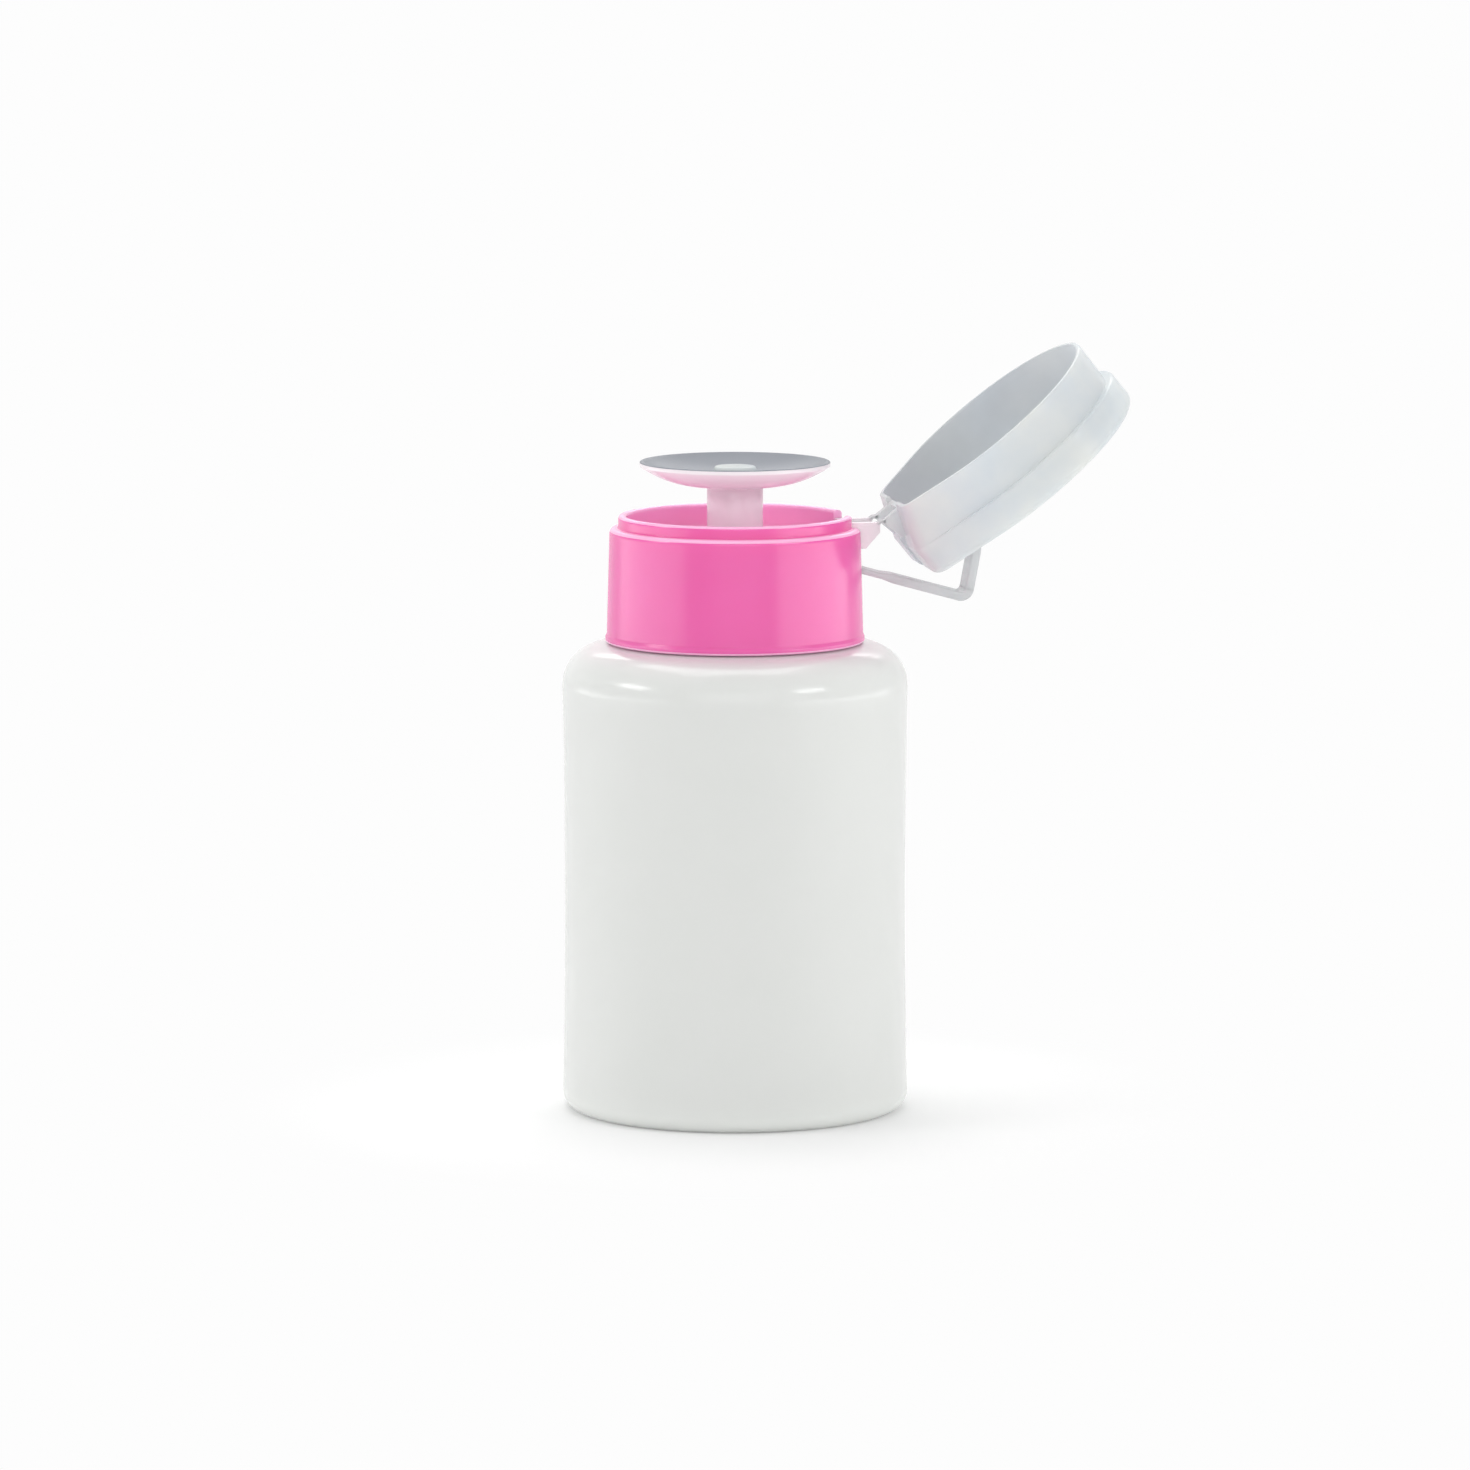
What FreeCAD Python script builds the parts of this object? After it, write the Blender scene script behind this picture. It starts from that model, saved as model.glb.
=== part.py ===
"""Push-down dish dispenser: bottle, screw collar, pump, dish, flip lid and snap strap.

Millimetres. The origin is the middle of the base on the floor, +Z is up and +X points at the lid's hinge.
The lid is drawn shut and then swung open about its film hinge, which is how the part rests.
"""
import FreeCAD, Part
import math
import os

V = FreeCAD.Vector

# Fits shared by several pieces
press_gap = 0.03        # radial gap of two pieces that are pushed together for good
running_gap = 0.06      # radial gap of a sliding fit
moulded_gap = 0.15      # side gap of loosely fitted moulded pieces

# Bottle
body_r = 30.0
body_wall = 1.1
waist_depth = 0.35      # how far the side is drawn in at mid-height
foot_round = 2.2
foot_land = 3.0         # width of the ring that the bottle stands on
base_rise = 2.0         # height of the hollow under the base
base_wall = 1.6
side_top_z = 73.9
shoulder_round = 7.3
shoulder_turn = math.radians(79)
neck_r = 15.2
neck_wall = 1.6
neck_reach = 12.6       # rim of the neck above its root at the shoulder

# Collar
collar_foot_gap = 0.3   # collar above the bottle's shoulder
collar_rise = 1.8       # collar's shoulder above its deck
collar_step = 1.5       # width of the shoulder outside the ring
collar_spread = 0.5     # how much wider the collar is at its foot
collar_wall = 1.4
collar_edge_round = 0.9
flare = 0.25            # small bead round the collar's lower edge
flare_height = 1.1
ring_skirt_gap = 2.5    # ring outside the inner skirt
ring_wall = 1.4
ring_height = 2.2
deck_thick = 1.4
thread_depth = 1.3      # room for the thread between neck and inner skirt
skirt_wall = 1.2
skirt_foot_gap = 1.2    # inner skirt above the shoulder's end at the neck
deck_hole_gap = 0.45
rib_count = 9           # radial ribs between the collar's two skirts
rib_thick = 1.0
rib_height = 10.0
rib_weld = 0.6          # how far a rib's ends run into the walls
guide_gap = 0.25        # ribs beside the hinge base, clear of the notch

# Pump stack at the neck
gasket_thick = 1.0
flange_thick = 1.8
flange_overhang = 0.7   # flange beyond the neck
cylinder_bore_r = 7.0
cylinder_wall = 1.2
cap_overhang = 2.2      # cap flange beyond the bore
cap_flange_thick = 1.3
cap_depth = 2.6         # how far the cap's barrel reaches below its flange

# Stem, piston and spring
stem_shoulder = 1.65    # stem beyond the dish's spigot
stem_bore_r = 1.6
stem_core_wall = 1.4
piston_height = 6.2
piston_lip = 1.3        # height of each sealing lip
stem_button_lip = 1.0   # snap end that holds the piston
stem_button_thick = 1.4
piston_stop_gap = 0.1
stroke = 8.0
spring_wire_r = 0.45
spring_side_gap = 1.25  # wire to the bore
spring_turns = 6        # open turns between the two flat ends
spring_flat_turns = 1    # at each end
spring_spare = 5.4      # left between the turns when the dish is pressed right down
spring_end_gap = 0.5    # between the wire's turns at its two flat ends
seat_thick = 1.2
seat_hole_r = 1.5
seat_slot = 1.2

# Lower valve and dip tube
inlet_ball_r = 2.5
inlet_lift = 1.2
inlet_side_gap = 0.7
inlet_throat_r = 1.4
ball_gap = 0.05
valve_wall = 1.3
tube_lap = 0.4          # tube's bore outside the valve's throat
tube_wall = 0.8
tube_socket = 7.0
tube_floor_gap = 1.6

# Dish and outlet
dish_ring_gap = 2.3     # dish inside the collar's ring
dish_rise = 13.3        # dish rim above the collar's deck
dish_depth = 3.0
dish_wall = 1.2
dish_rim = 0.6          # width of the flat rim
dish_rim_height = 0.8
dish_edge = 0.3         # rounding of the rim
dish_boss = 0.9         # level middle of the dish beyond the stem
spigot_wall = 1.2
outlet_overhang = 0.45  # nozzle beyond the spigot
outlet_height = 2.2
outlet_edge = 0.55
outlet_roof = 0.7
outlet_ball_r = 1.5
outlet_lift = 0.8
outlet_side_gap = 0.5
outlet_throat_r = 0.9
outlet_bore_r = 1.0
outlet_hole_r = 0.5
outlet_holes = 4

# Lid
lid_open_deg = 140.5
lid_seat_gap = 0.15     # lid above the collar's shoulder when shut
lid_ring_gap = 0.3
lid_wall = 0.9
lid_dish_gap = 0.85     # over the dish when shut
lid_top_thick = 1.2
lid_skirt_height = 7.5
lid_skirt_taper = 0.2
lid_band = 1.0          # how far the band stands out from the skirt, fading out towards the hinge wall
lid_lip = 0.5           # how much further it stands out at the front
lid_back_inset = 0.2    # hinge wall at the mouth, inside the round wall
lid_back_lean = 1.5
lid_back_half = 13.2
lid_corner_r = 3.0
lid_top_round = 1.3
lid_inner_round = 1.6

# Hinge
hinge_overhang = 3.2    # film line outside the collar
hinge_rise = 1.0        # film line above the collar's shoulder
hinge_width = 9.0
film_r = 0.4
film_gap = 0.08
lug_drop = 4.5
lug_end = 1.7           # height of a lug at the film
lug_foot_out = 0.5      # a lug's full depth ends this far outside the collar
neck_height = 4.5
base_thick = 1.5
base_drop = 12.7        # foot of the hinge base below its lugs' top
base_skirt_gap = 0.6    # hinge base outside the collar's inner skirt

# Snap strap, an elbow that is relaxed both open and shut
strap_width = 5.5
strap_thick = 1.6
strap_thin = 1.1        # near the films
strap_root_run = 5.0    # length of the thin stretch at the collar
strap_tip_run = 1.6     # and at the lid
strap_taper_run = 2.0
elbow_r = 1.5           # bend of the strap's middle line at the knee
strap_root_out = 1.0    # root film outside the hinge base
strap_root_drop = 7.4   # root film below the collar's shoulder
knee_out = 15.7         # knee outside the lid's film line
knee_drop = 12.9        # knee below the collar's shoulder, lid open
strap_tip_in = 8.0      # tip film inside the lid's round wall
strap_tip_rise = 0.5    # tip film above the lid's top
relief_gap = 0.3

# Radii that follow from the sizes above, outward from the neck and from the valve balls
neck_bore_r = neck_r - neck_wall
flange_r = neck_r + flange_overhang
skirt_in_r = neck_r + thread_depth
skirt_out_r = skirt_in_r + skirt_wall
base_in_x = skirt_out_r + base_skirt_gap
base_out_x = base_in_x + base_thick
ring_r = skirt_out_r + ring_skirt_gap
ring_in_r = ring_r - ring_wall
collar_top_r = ring_r + collar_step
collar_foot_r = collar_top_r + collar_spread
collar_in_foot_r = collar_foot_r - collar_wall
lid_in_r = ring_r + lid_ring_gap
lid_r = lid_in_r + lid_wall
lid_back_x = lid_r - lid_back_inset
hinge_reach = collar_top_r + hinge_overhang
dish_r = ring_in_r - dish_ring_gap
outlet_chamber_r = outlet_ball_r + outlet_side_gap
spigot_r = outlet_chamber_r + spigot_wall
outlet_r = spigot_r + outlet_overhang
stem_r = spigot_r + stem_shoulder
dish_flat_r = stem_r + dish_boss
piston_core_r = stem_bore_r + stem_core_wall
stem_button_r = piston_core_r + stem_button_lip
cap_flange_r = cylinder_bore_r + cap_overhang
spring_mean_r = cylinder_bore_r - spring_side_gap - spring_wire_r
inlet_chamber_r = inlet_ball_r + inlet_side_gap
tube_r = inlet_throat_r + tube_lap + tube_wall

# Heights that follow, from the bottle's shoulder up to the lid and from the piston down to the tube
shoulder_edge_r = body_r - shoulder_round + shoulder_round * math.cos(shoulder_turn)
shoulder_edge_z = side_top_z + shoulder_round * math.sin(shoulder_turn)
shoulder_slope = 1 / math.tan(shoulder_turn)
neck_root_z = shoulder_edge_z + (shoulder_edge_r - neck_r) * shoulder_slope
neck_rim_z = neck_root_z + neck_reach
gasket_z = neck_rim_z
flange_z = gasket_z + gasket_thick
deck_z = flange_z + flange_thick
deck_top_z = deck_z + deck_thick
skirt_foot_z = neck_root_z + skirt_foot_gap
collar_foot_z = shoulder_edge_z + (shoulder_edge_r - collar_in_foot_r) * shoulder_slope + collar_foot_gap
collar_top_z = deck_top_z + collar_rise
ring_top_z = collar_top_z + ring_height
cap_z = deck_z - cap_flange_thick - cap_depth
piston_top_z = cap_z - piston_stop_gap
piston_z = piston_top_z - piston_height
spring_all_turns = spring_turns + 2 * spring_flat_turns
spring_length = 2 * spring_wire_r * spring_all_turns + stroke + spring_spare
spring_z = piston_z - spring_length
seat_z = spring_z - seat_thick
inlet_ball_z = seat_z - ball_gap - inlet_lift - inlet_ball_r
inlet_cone_z = inlet_ball_z - (inlet_ball_r + ball_gap) * math.sqrt(2)
inlet_throat_z = inlet_cone_z + inlet_throat_r
tube_top_z = inlet_throat_z - valve_wall
tube_foot_z = base_rise + base_wall + tube_floor_gap
dish_rim_z = deck_top_z + dish_rise
dish_floor_z = dish_rim_z - dish_depth
dish_under_z = dish_floor_z - dish_wall
outlet_top_z = dish_floor_z + outlet_height
outlet_plug_z = dish_under_z
outlet_ball_z = outlet_plug_z - ball_gap - outlet_lift - outlet_ball_r
outlet_cone_z = outlet_ball_z - (outlet_ball_r + ball_gap) * math.sqrt(2)
outlet_throat_z = outlet_cone_z + outlet_throat_r
lid_z = collar_top_z + lid_seat_gap
lid_top_z = dish_rim_z + lid_dish_gap + lid_top_thick
hinge_z = collar_top_z + hinge_rise
lug_top_z = hinge_z - lid_seat_gap
lug_foot_z = lug_top_z - lug_drop
lug_width = (hinge_width - strap_width) / 2 - moulded_gap
lug_y = hinge_width / 2 - lug_width
notch_half = hinge_width / 2 + moulded_gap
slot_half = strap_width / 2 + moulded_gap
seat_r = film_r + film_gap

# Strap pivots in the XZ plane: root on the collar, knee, and tip on the lid both open and shut
root = (base_out_x + strap_root_out, collar_top_z - strap_root_drop)
knee = (hinge_reach + knee_out, collar_top_z - knee_drop)
hinge = (hinge_reach, hinge_z)
tip_shut = (lid_in_r - strap_tip_in, lid_top_z + strap_tip_rise)


def swing(point, centre, degrees):
    """Turn a point of the XZ plane about a centre, positive from +X to +Z."""
    angle = math.radians(degrees)
    dx = point[0] - centre[0]
    dz = point[1] - centre[1]
    return (centre[0] + dx * math.cos(angle) - dz * math.sin(angle),
            centre[1] + dx * math.sin(angle) + dz * math.cos(angle))


def heading(start, end):
    """Direction from start to end in degrees."""
    return math.degrees(math.atan2(end[1] - start[1], end[0] - start[0]))


tip = swing(tip_shut, hinge, -lid_open_deg)
lower_length = math.dist(root, knee)
upper_length = math.dist(knee, tip)
span_shut = math.dist(root, tip_shut)
root_angle = math.acos((lower_length**2 + span_shut**2 - upper_length**2) / (2 * lower_length * span_shut))
lower_shut_deg = heading(root, tip_shut) - math.degrees(root_angle)
knee_shut = swing((root[0] + lower_length, root[1]), root, lower_shut_deg)
lower_turn_deg = lower_shut_deg - heading(root, knee)
upper_turn_deg = heading(tip_shut, knee_shut) - heading(tip, knee) - lid_open_deg
knee_deg = heading(knee, root) - heading(knee, tip)
elbow_run = elbow_r / math.tan(math.radians(knee_deg / 2))


def point(p, y=0.0):
    """A point of the XZ plane at a given depth."""
    return V(p[0], y, p[1])


def outline(start, moves):
    """Closed face in the XZ plane; a move is a point, or an arc's middle and end points."""
    edges = []
    here = start
    for move in moves + [start]:
        if isinstance(move[0], tuple):
            edges.append(Part.Arc(point(here), point(move[0]), point(move[1])).toShape())
            here = move[1]
        elif math.dist(here, move) > 1e-6:
            edges.append(Part.LineSegment(point(here), point(move)).toShape())
            here = move
    return Part.Face(Part.Wire(edges))


def turned(start, moves):
    """Solid of revolution about the bottle's axis."""
    return outline(start, moves).revolve(V(0, 0, 0), V(0, 0, 1), 360)


def slab(start, moves, y0, y1):
    """XZ outline with a thickness from y0 to y1."""
    face = outline(start, moves)
    face.translate(V(0, y0, 0))
    return face.extrude(V(0, y1 - y0, 0))


def block(x, y, z):
    """Box between pairs of limits."""
    return Part.makeBox(x[1] - x[0], y[1] - y[0], z[1] - z[0], V(x[0], y[0], z[0]))


def round_bar(centre, radius, y0, y1):
    """Cylinder along Y through a point of the XZ plane."""
    return Part.makeCylinder(radius, y1 - y0, V(centre[0], y0, centre[1]), V(0, 1, 0))


def tube(r_in, r_out, z0, z1):
    """Plain ring about the bottle's axis."""
    return turned((r_in, z0), [(r_out, z0), (r_out, z1), (r_in, z1)])


def ball(radius, z):
    """Sphere on the bottle's axis."""
    return Part.makeSphere(radius, V(0, 0, z))


def arc_at(centre, radius, degrees):
    """Point of a circle in the XZ plane."""
    return swing((centre[0] + radius, centre[1]), centre, degrees)


def both_sides(solid):
    """A solid with its mirror image across the XZ plane."""
    return [solid, solid.mirror(V(0, 0, 0), V(0, 1, 0))]


def open_lid(shape):
    """Swing a shape that was drawn with the lid shut to where it rests."""
    shape.rotate(point(hinge), V(0, 1, 0), lid_open_deg)
    return shape


def make_bottle():
    """Blown shell with a drawn-in side, round shoulder, plain neck and hollow base."""
    in_r = body_r - body_wall
    in_round = shoulder_round - body_wall
    half_turn = math.degrees(shoulder_turn) / 2
    turn = math.degrees(shoulder_turn)
    shoulder = (body_r - shoulder_round, side_top_z)
    foot = (body_r - foot_round, foot_round)
    foot_in_r = foot[0] - foot_land
    floor_z = base_rise + base_wall
    dome_r = (foot_in_r**2 + base_rise**2) / (2 * base_rise)
    dome = base_rise - dome_r + math.sqrt(dome_r**2 - (foot_in_r / 2)**2)
    inner_foot = (in_r - foot_round, base_wall + foot_round)
    inner_neck_z = neck_root_z - body_wall / math.sin(shoulder_turn) + neck_wall * shoulder_slope
    mid_z = (foot_round + side_top_z) / 2
    return turned(
        (0, base_rise),
        [((foot_in_r / 2, dome), (foot_in_r, 0)),
         (foot[0], 0),
         (arc_at(foot, foot_round, -45), (body_r, foot_round)),
         ((body_r - waist_depth, mid_z), (body_r, side_top_z)),
         (arc_at(shoulder, shoulder_round, half_turn), arc_at(shoulder, shoulder_round, turn)),
         (neck_r, neck_root_z),
         (neck_r, neck_rim_z),
         (neck_bore_r, neck_rim_z),
         (neck_bore_r, inner_neck_z),
         arc_at(shoulder, in_round, turn),
         (arc_at(shoulder, in_round, half_turn), (in_r, side_top_z)),
         ((in_r - waist_depth, mid_z), (in_r, inner_foot[1])),
         (arc_at(inner_foot, foot_round, -45), (inner_foot[0], base_wall)),
         (foot_in_r, base_wall),
         ((foot_in_r / 2, base_wall + dome), (0, floor_z))])


def make_collar():
    """Double-walled screw collar with a raised ring, ribs, a hinge notch and a strap slot."""
    lean = collar_spread / (collar_top_z - collar_foot_z)
    in_top_r = collar_foot_r - collar_wall - lean * (deck_z - collar_foot_z)
    edge = (collar_top_r - collar_edge_round, collar_top_z - collar_edge_round)
    lip_r = ring_wall / 2
    lip = (ring_r - lip_r, ring_top_z - lip_r)
    collar = turned(
        (skirt_in_r, skirt_foot_z),
        [(skirt_out_r, skirt_foot_z),
         (skirt_out_r, deck_z),
         (in_top_r, deck_z),
         (collar_in_foot_r, collar_foot_z),
         (collar_foot_r + flare, collar_foot_z),
         (collar_foot_r + flare, collar_foot_z + flare_height / 2),
         (collar_foot_r - lean * flare_height, collar_foot_z + flare_height),
         (collar_top_r, edge[1]),
         (arc_at(edge, collar_edge_round, 45), (edge[0], collar_top_z)),
         (ring_r, collar_top_z),
         (ring_r, lip[1]),
         (arc_at(lip, lip_r, 90), (ring_in_r, lip[1])),
         (ring_in_r, deck_top_z),
         (stem_r + deck_hole_gap, deck_top_z),
         (stem_r + deck_hole_gap, deck_z),
         (skirt_in_r, deck_z)])
    rib_x = (skirt_out_r - rib_weld, in_top_r + rib_weld)
    rib_z = (deck_z - rib_height, deck_z + rib_weld)
    ribs = []
    for i in range(1, rib_count):
        rib = block(rib_x, (-rib_thick / 2, rib_thick / 2), rib_z)
        rib.rotate(V(0, 0, 0), V(0, 0, 1), 360 * i / rib_count)
        ribs.append(rib)
    guide_y = notch_half + guide_gap
    guide = block(rib_x, (guide_y, guide_y + rib_thick), rib_z)
    collar = collar.fuse(ribs + both_sides(guide)).removeSplitter()
    outside = 2 * collar_foot_r
    notch = block((base_in_x - moulded_gap, outside), (-notch_half, notch_half),
                  (lug_foot_z - moulded_gap, ring_top_z + ring_height))
    slot = block((base_out_x, outside), (-slot_half, slot_half),
                 (root[1] - strap_thick, lug_foot_z))
    return collar.cut([notch, slot])


def make_hinge_base():
    """Foot plate between the collar's skirts, with two lugs and the strap's root."""
    plate = block((base_in_x, base_out_x), (-hinge_width / 2, hinge_width / 2),
                  (lug_top_z - base_drop, lug_top_z))
    tip_x = hinge_reach - film_r / 2
    lug = slab((base_out_x, lug_foot_z),
               [(collar_top_r + lug_foot_out, lug_foot_z),
                (tip_x, lug_top_z - lug_end),
                (tip_x, hinge_z),
                (tip_x - film_r, lug_top_z),
                (base_out_x, lug_top_z)],
               lug_y, hinge_width / 2)
    boss = block((base_out_x, root[0] - seat_r), (-strap_width / 2, strap_width / 2),
                 (root[1] - strap_thin / 2, root[1] + strap_thin / 2))
    base = plate.fuse(both_sides(lug) + [boss]).removeSplitter()
    return base.cut(round_bar(hinge, seat_r, -hinge_width, hinge_width))


def make_hinge_films():
    """The two short films that the lid turns on."""
    return Part.makeCompound(both_sides(round_bar(hinge, film_r, lug_y, hinge_width / 2)))


def other_side(p):
    """A point's mirror image across the XZ plane."""
    return V(p.x, -p.y, p.z)


def lid_outline(radius, shift, back_x, half, corner, z):
    """Lid plan: a circle whose sides run straight to a flat hinge wall with round corners."""
    centre = V(-shift, 0, z)
    spot = V(back_x - corner, half - corner, z)
    gap = spot - centre
    facing = math.atan2(gap.y, gap.x) + math.acos((radius - corner) / gap.Length)
    out = V(math.cos(facing), math.sin(facing), 0)
    between = V(math.cos(facing / 2), math.sin(facing / 2), 0)
    circle_at = centre + out * radius
    flat_at = spot + out * corner
    back = V(back_x, spot.y, z)
    round_at = spot + between * corner
    return Part.Wire([
        Part.Arc(circle_at, centre - V(radius, 0, 0), other_side(circle_at)).toShape(),
        Part.LineSegment(other_side(circle_at), other_side(flat_at)).toShape(),
        Part.Arc(other_side(flat_at), other_side(round_at), other_side(back)).toShape(),
        Part.LineSegment(other_side(back), back).toShape(),
        Part.Arc(back, round_at, flat_at).toShape(),
        Part.LineSegment(flat_at, circle_at).toShape()])


def edges_at(shape, z):
    """Edges of a shape that lie in one level plane."""
    near = 1e-4
    return [e for e in shape.Edges if abs(e.BoundBox.ZMin - z) < near and abs(e.BoundBox.ZMax - z) < near]


def make_lid():
    """Thin flip lid with a grip band, a flat hinge wall, two hinge necks and a groove for the strap."""
    step_z = lid_z + lid_skirt_height
    band_r = lid_r - lid_skirt_taper + lid_band + lid_lip / 2
    band_back_x = lid_back_x + lid_back_lean
    skirt = Part.makeLoft([
        lid_outline(lid_r, 0, lid_back_x, lid_back_half, lid_corner_r, lid_z),
        lid_outline(lid_r - lid_skirt_taper, 0, lid_back_x + lid_back_lean, lid_back_half, lid_corner_r,
                    step_z)], True, True)
    band_plan = lid_outline(band_r, lid_lip / 2, band_back_x, lid_back_half, lid_corner_r, step_z)
    band = Part.Face(band_plan).extrude(V(0, 0, lid_top_z - step_z))
    band = band.makeFillet(lid_top_round, edges_at(band, lid_top_z))
    inner_top_z = lid_top_z - lid_top_thick
    inner_back_x = lid_back_x - lid_wall
    inner_half = lid_back_half - lid_wall
    inner_corner_r = lid_corner_r - lid_wall
    hollow = Part.makeLoft([
        lid_outline(lid_in_r, 0, inner_back_x, inner_half, inner_corner_r, lid_z - lid_seat_gap),
        lid_outline(lid_in_r - lid_skirt_taper, 0, inner_back_x, inner_half, inner_corner_r, inner_top_z)],
        True, True)
    hollow = hollow.makeFillet(lid_inner_round, edges_at(hollow, inner_top_z))
    neck_tip_x = hinge_reach - film_r / 2
    neck_foot_z = hinge_z + lid_seat_gap
    neck_in_x = lid_back_x - lid_wall / 2
    neck = slab((neck_in_x, neck_foot_z),
                [(neck_tip_x - film_r, neck_foot_z),
                 (neck_tip_x, hinge_z),
                 (neck_tip_x, hinge_z + film_r),
                 (lid_back_x + lid_back_lean, neck_foot_z + neck_height),
                 (neck_in_x, neck_foot_z + neck_height)],
                lug_y, hinge_width / 2)
    boss_end_x = tip_shut[0] - seat_r
    boss = block((boss_end_x - strap_thick, boss_end_x), (-strap_width / 2, strap_width / 2),
                 (lid_top_z - lid_top_thick / 2, tip_shut[1] + strap_thin / 2))
    lug_room = block((inner_back_x - lid_wall, hinge_reach), (-notch_half, notch_half),
                     (lid_z - lid_seat_gap, neck_foot_z))
    lid = skirt.fuse([band] + both_sides(neck)).removeSplitter()
    lid = lid.cut([hollow, strap_relief(), lug_room]).fuse(boss).removeSplitter()
    return open_lid(lid.cut(round_bar(hinge, seat_r, -hinge_width, hinge_width)))


def strap_relief():
    """Room that the shut strap needs in the lid's top and back, open to the outside."""
    inset = strap_thick / 2 + relief_gap
    over = strap_thick * 4
    upper_deg = heading(tip_shut, knee_shut)
    lower_deg = lower_shut_deg
    floor_start = arc_at(tip_shut, inset, upper_deg - 90)
    floor_end = arc_at(arc_at(knee_shut, inset, upper_deg - 90), elbow_run, upper_deg + 180)
    wall_top = arc_at(arc_at(knee_shut, inset, lower_deg + 90), elbow_run, lower_deg + 180)
    wall_foot = arc_at(root, inset, lower_deg + 90)
    return slab(floor_start,
                [floor_end,
                 wall_top,
                 wall_foot,
                 (wall_foot[0] + over * 2, wall_foot[1]),
                 (knee_shut[0] + over, knee_shut[1] + over),
                 (floor_start[0], knee_shut[1] + over)],
                -slot_half, slot_half)


def strap_strip(film, end, thin_run, length):
    """Flat strip from a film towards the knee, thin by the film."""
    full = strap_thick / 2
    thin = strap_thin / 2
    tapered = thin_run + strap_taper_run
    strip = slab((seat_r, -thin),
                 [(thin_run, -thin), (tapered, -full), (length, -full), (length, full), (tapered, full),
                  (thin_run, thin), (seat_r, thin)],
                 -strap_width / 2, strap_width / 2)
    strip.rotate(V(0, 0, 0), V(0, -1, 0), heading(film, end))
    strip.translate(point(film))
    return strip


def make_lower_arm():
    """Strip from the collar with the elbow that ends square to the upper arm."""
    strip = strap_strip(root, knee, strap_root_run, lower_length - elbow_run)
    start = arc_at(knee, elbow_run, heading(knee, root))
    inward = heading(knee, root) - 90
    centre = arc_at(start, elbow_r, inward)
    half = (180 - knee_deg) / 2
    r_in = elbow_r - strap_thick / 2
    r_out = elbow_r + strap_thick / 2
    back = inward + 180
    bend = slab(arc_at(centre, r_in, back),
                [arc_at(centre, r_out, back),
                 (arc_at(centre, r_out, back + half), arc_at(centre, r_out, back + 2 * half)),
                 arc_at(centre, r_in, back + 2 * half),
                 (arc_at(centre, r_in, back + half), arc_at(centre, r_in, back))],
                -strap_width / 2, strap_width / 2)
    return strip.fuse(bend).removeSplitter()


def make_upper_arm():
    """Strip from the lid's film down to the elbow."""
    return strap_strip(tip, knee, strap_tip_run, upper_length - elbow_run - film_gap)


def make_cylinder():
    """Pump barrel with a neck flange, a valve chamber with a ball seat and a dip-tube socket."""
    out_r = cylinder_bore_r + cylinder_wall
    valve_r = inlet_chamber_r + valve_wall
    floor_z = seat_z - valve_wall
    cone_top_z = inlet_cone_z + inlet_chamber_r
    socket_r = tube_r + press_gap
    tail_r = socket_r + valve_wall
    return turned(
        (cylinder_bore_r, seat_z),
        [(cylinder_bore_r, deck_z - cap_flange_thick),
         (cap_flange_r + press_gap, deck_z - cap_flange_thick),
         (cap_flange_r + press_gap, deck_z),
         (flange_r, deck_z),
         (flange_r, flange_z),
         (out_r, flange_z),
         (out_r, floor_z),
         (valve_r, floor_z),
         (valve_r, inlet_throat_z),
         (tail_r, tube_top_z),
         (tail_r, tube_top_z - tube_socket),
         (socket_r, tube_top_z - tube_socket),
         (socket_r, tube_top_z),
         (inlet_throat_r, tube_top_z),
         (inlet_throat_r, inlet_throat_z),
         (inlet_chamber_r, cone_top_z),
         (inlet_chamber_r, seat_z)])


def make_cylinder_cap():
    """Ring pressed into the barrel's mouth; it stops the piston and guides the stem."""
    flange_foot_z = deck_z - cap_flange_thick
    hole_r = stem_r + running_gap
    return turned(
        (hole_r, cap_z),
        [(cylinder_bore_r - press_gap, cap_z),
         (cylinder_bore_r - press_gap, flange_foot_z),
         (cap_flange_r, flange_foot_z),
         (cap_flange_r, deck_z),
         (hole_r, deck_z)])


def make_spring_seat():
    """Disc under the spring; its slotted hole lets liquid past the lifted ball."""
    disc = tube(seat_hole_r, cylinder_bore_r - press_gap, seat_z, spring_z)
    reach = inlet_chamber_r - moulded_gap
    slot = block((-reach, reach), (-seat_slot / 2, seat_slot / 2), (seat_z, spring_z))
    return disc.cut(slot)


def make_dip_tube():
    """Suction tube with a slanted foot."""
    pipe = tube(tube_r - tube_wall, tube_r, tube_foot_z, tube_top_z)
    wedge = slab((-tube_r, tube_foot_z),
                 [(tube_r, tube_foot_z), (tube_r, tube_foot_z + 2 * tube_r)], -tube_r, tube_r)
    return pipe.cut(wedge)


def make_piston():
    """Soft piston ring with a sealing lip at each end."""
    lip_r = cylinder_bore_r - running_gap
    waist_r = lip_r - piston_lip / 2
    low = piston_z + piston_lip
    high = piston_top_z - piston_lip
    return turned(
        (piston_core_r + press_gap, piston_z),
        [(lip_r, piston_z), (lip_r, low), (waist_r, low + piston_lip / 2), (waist_r, high - piston_lip / 2),
         (lip_r, high), (lip_r, piston_top_z), (piston_core_r + press_gap, piston_top_z)])


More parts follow.
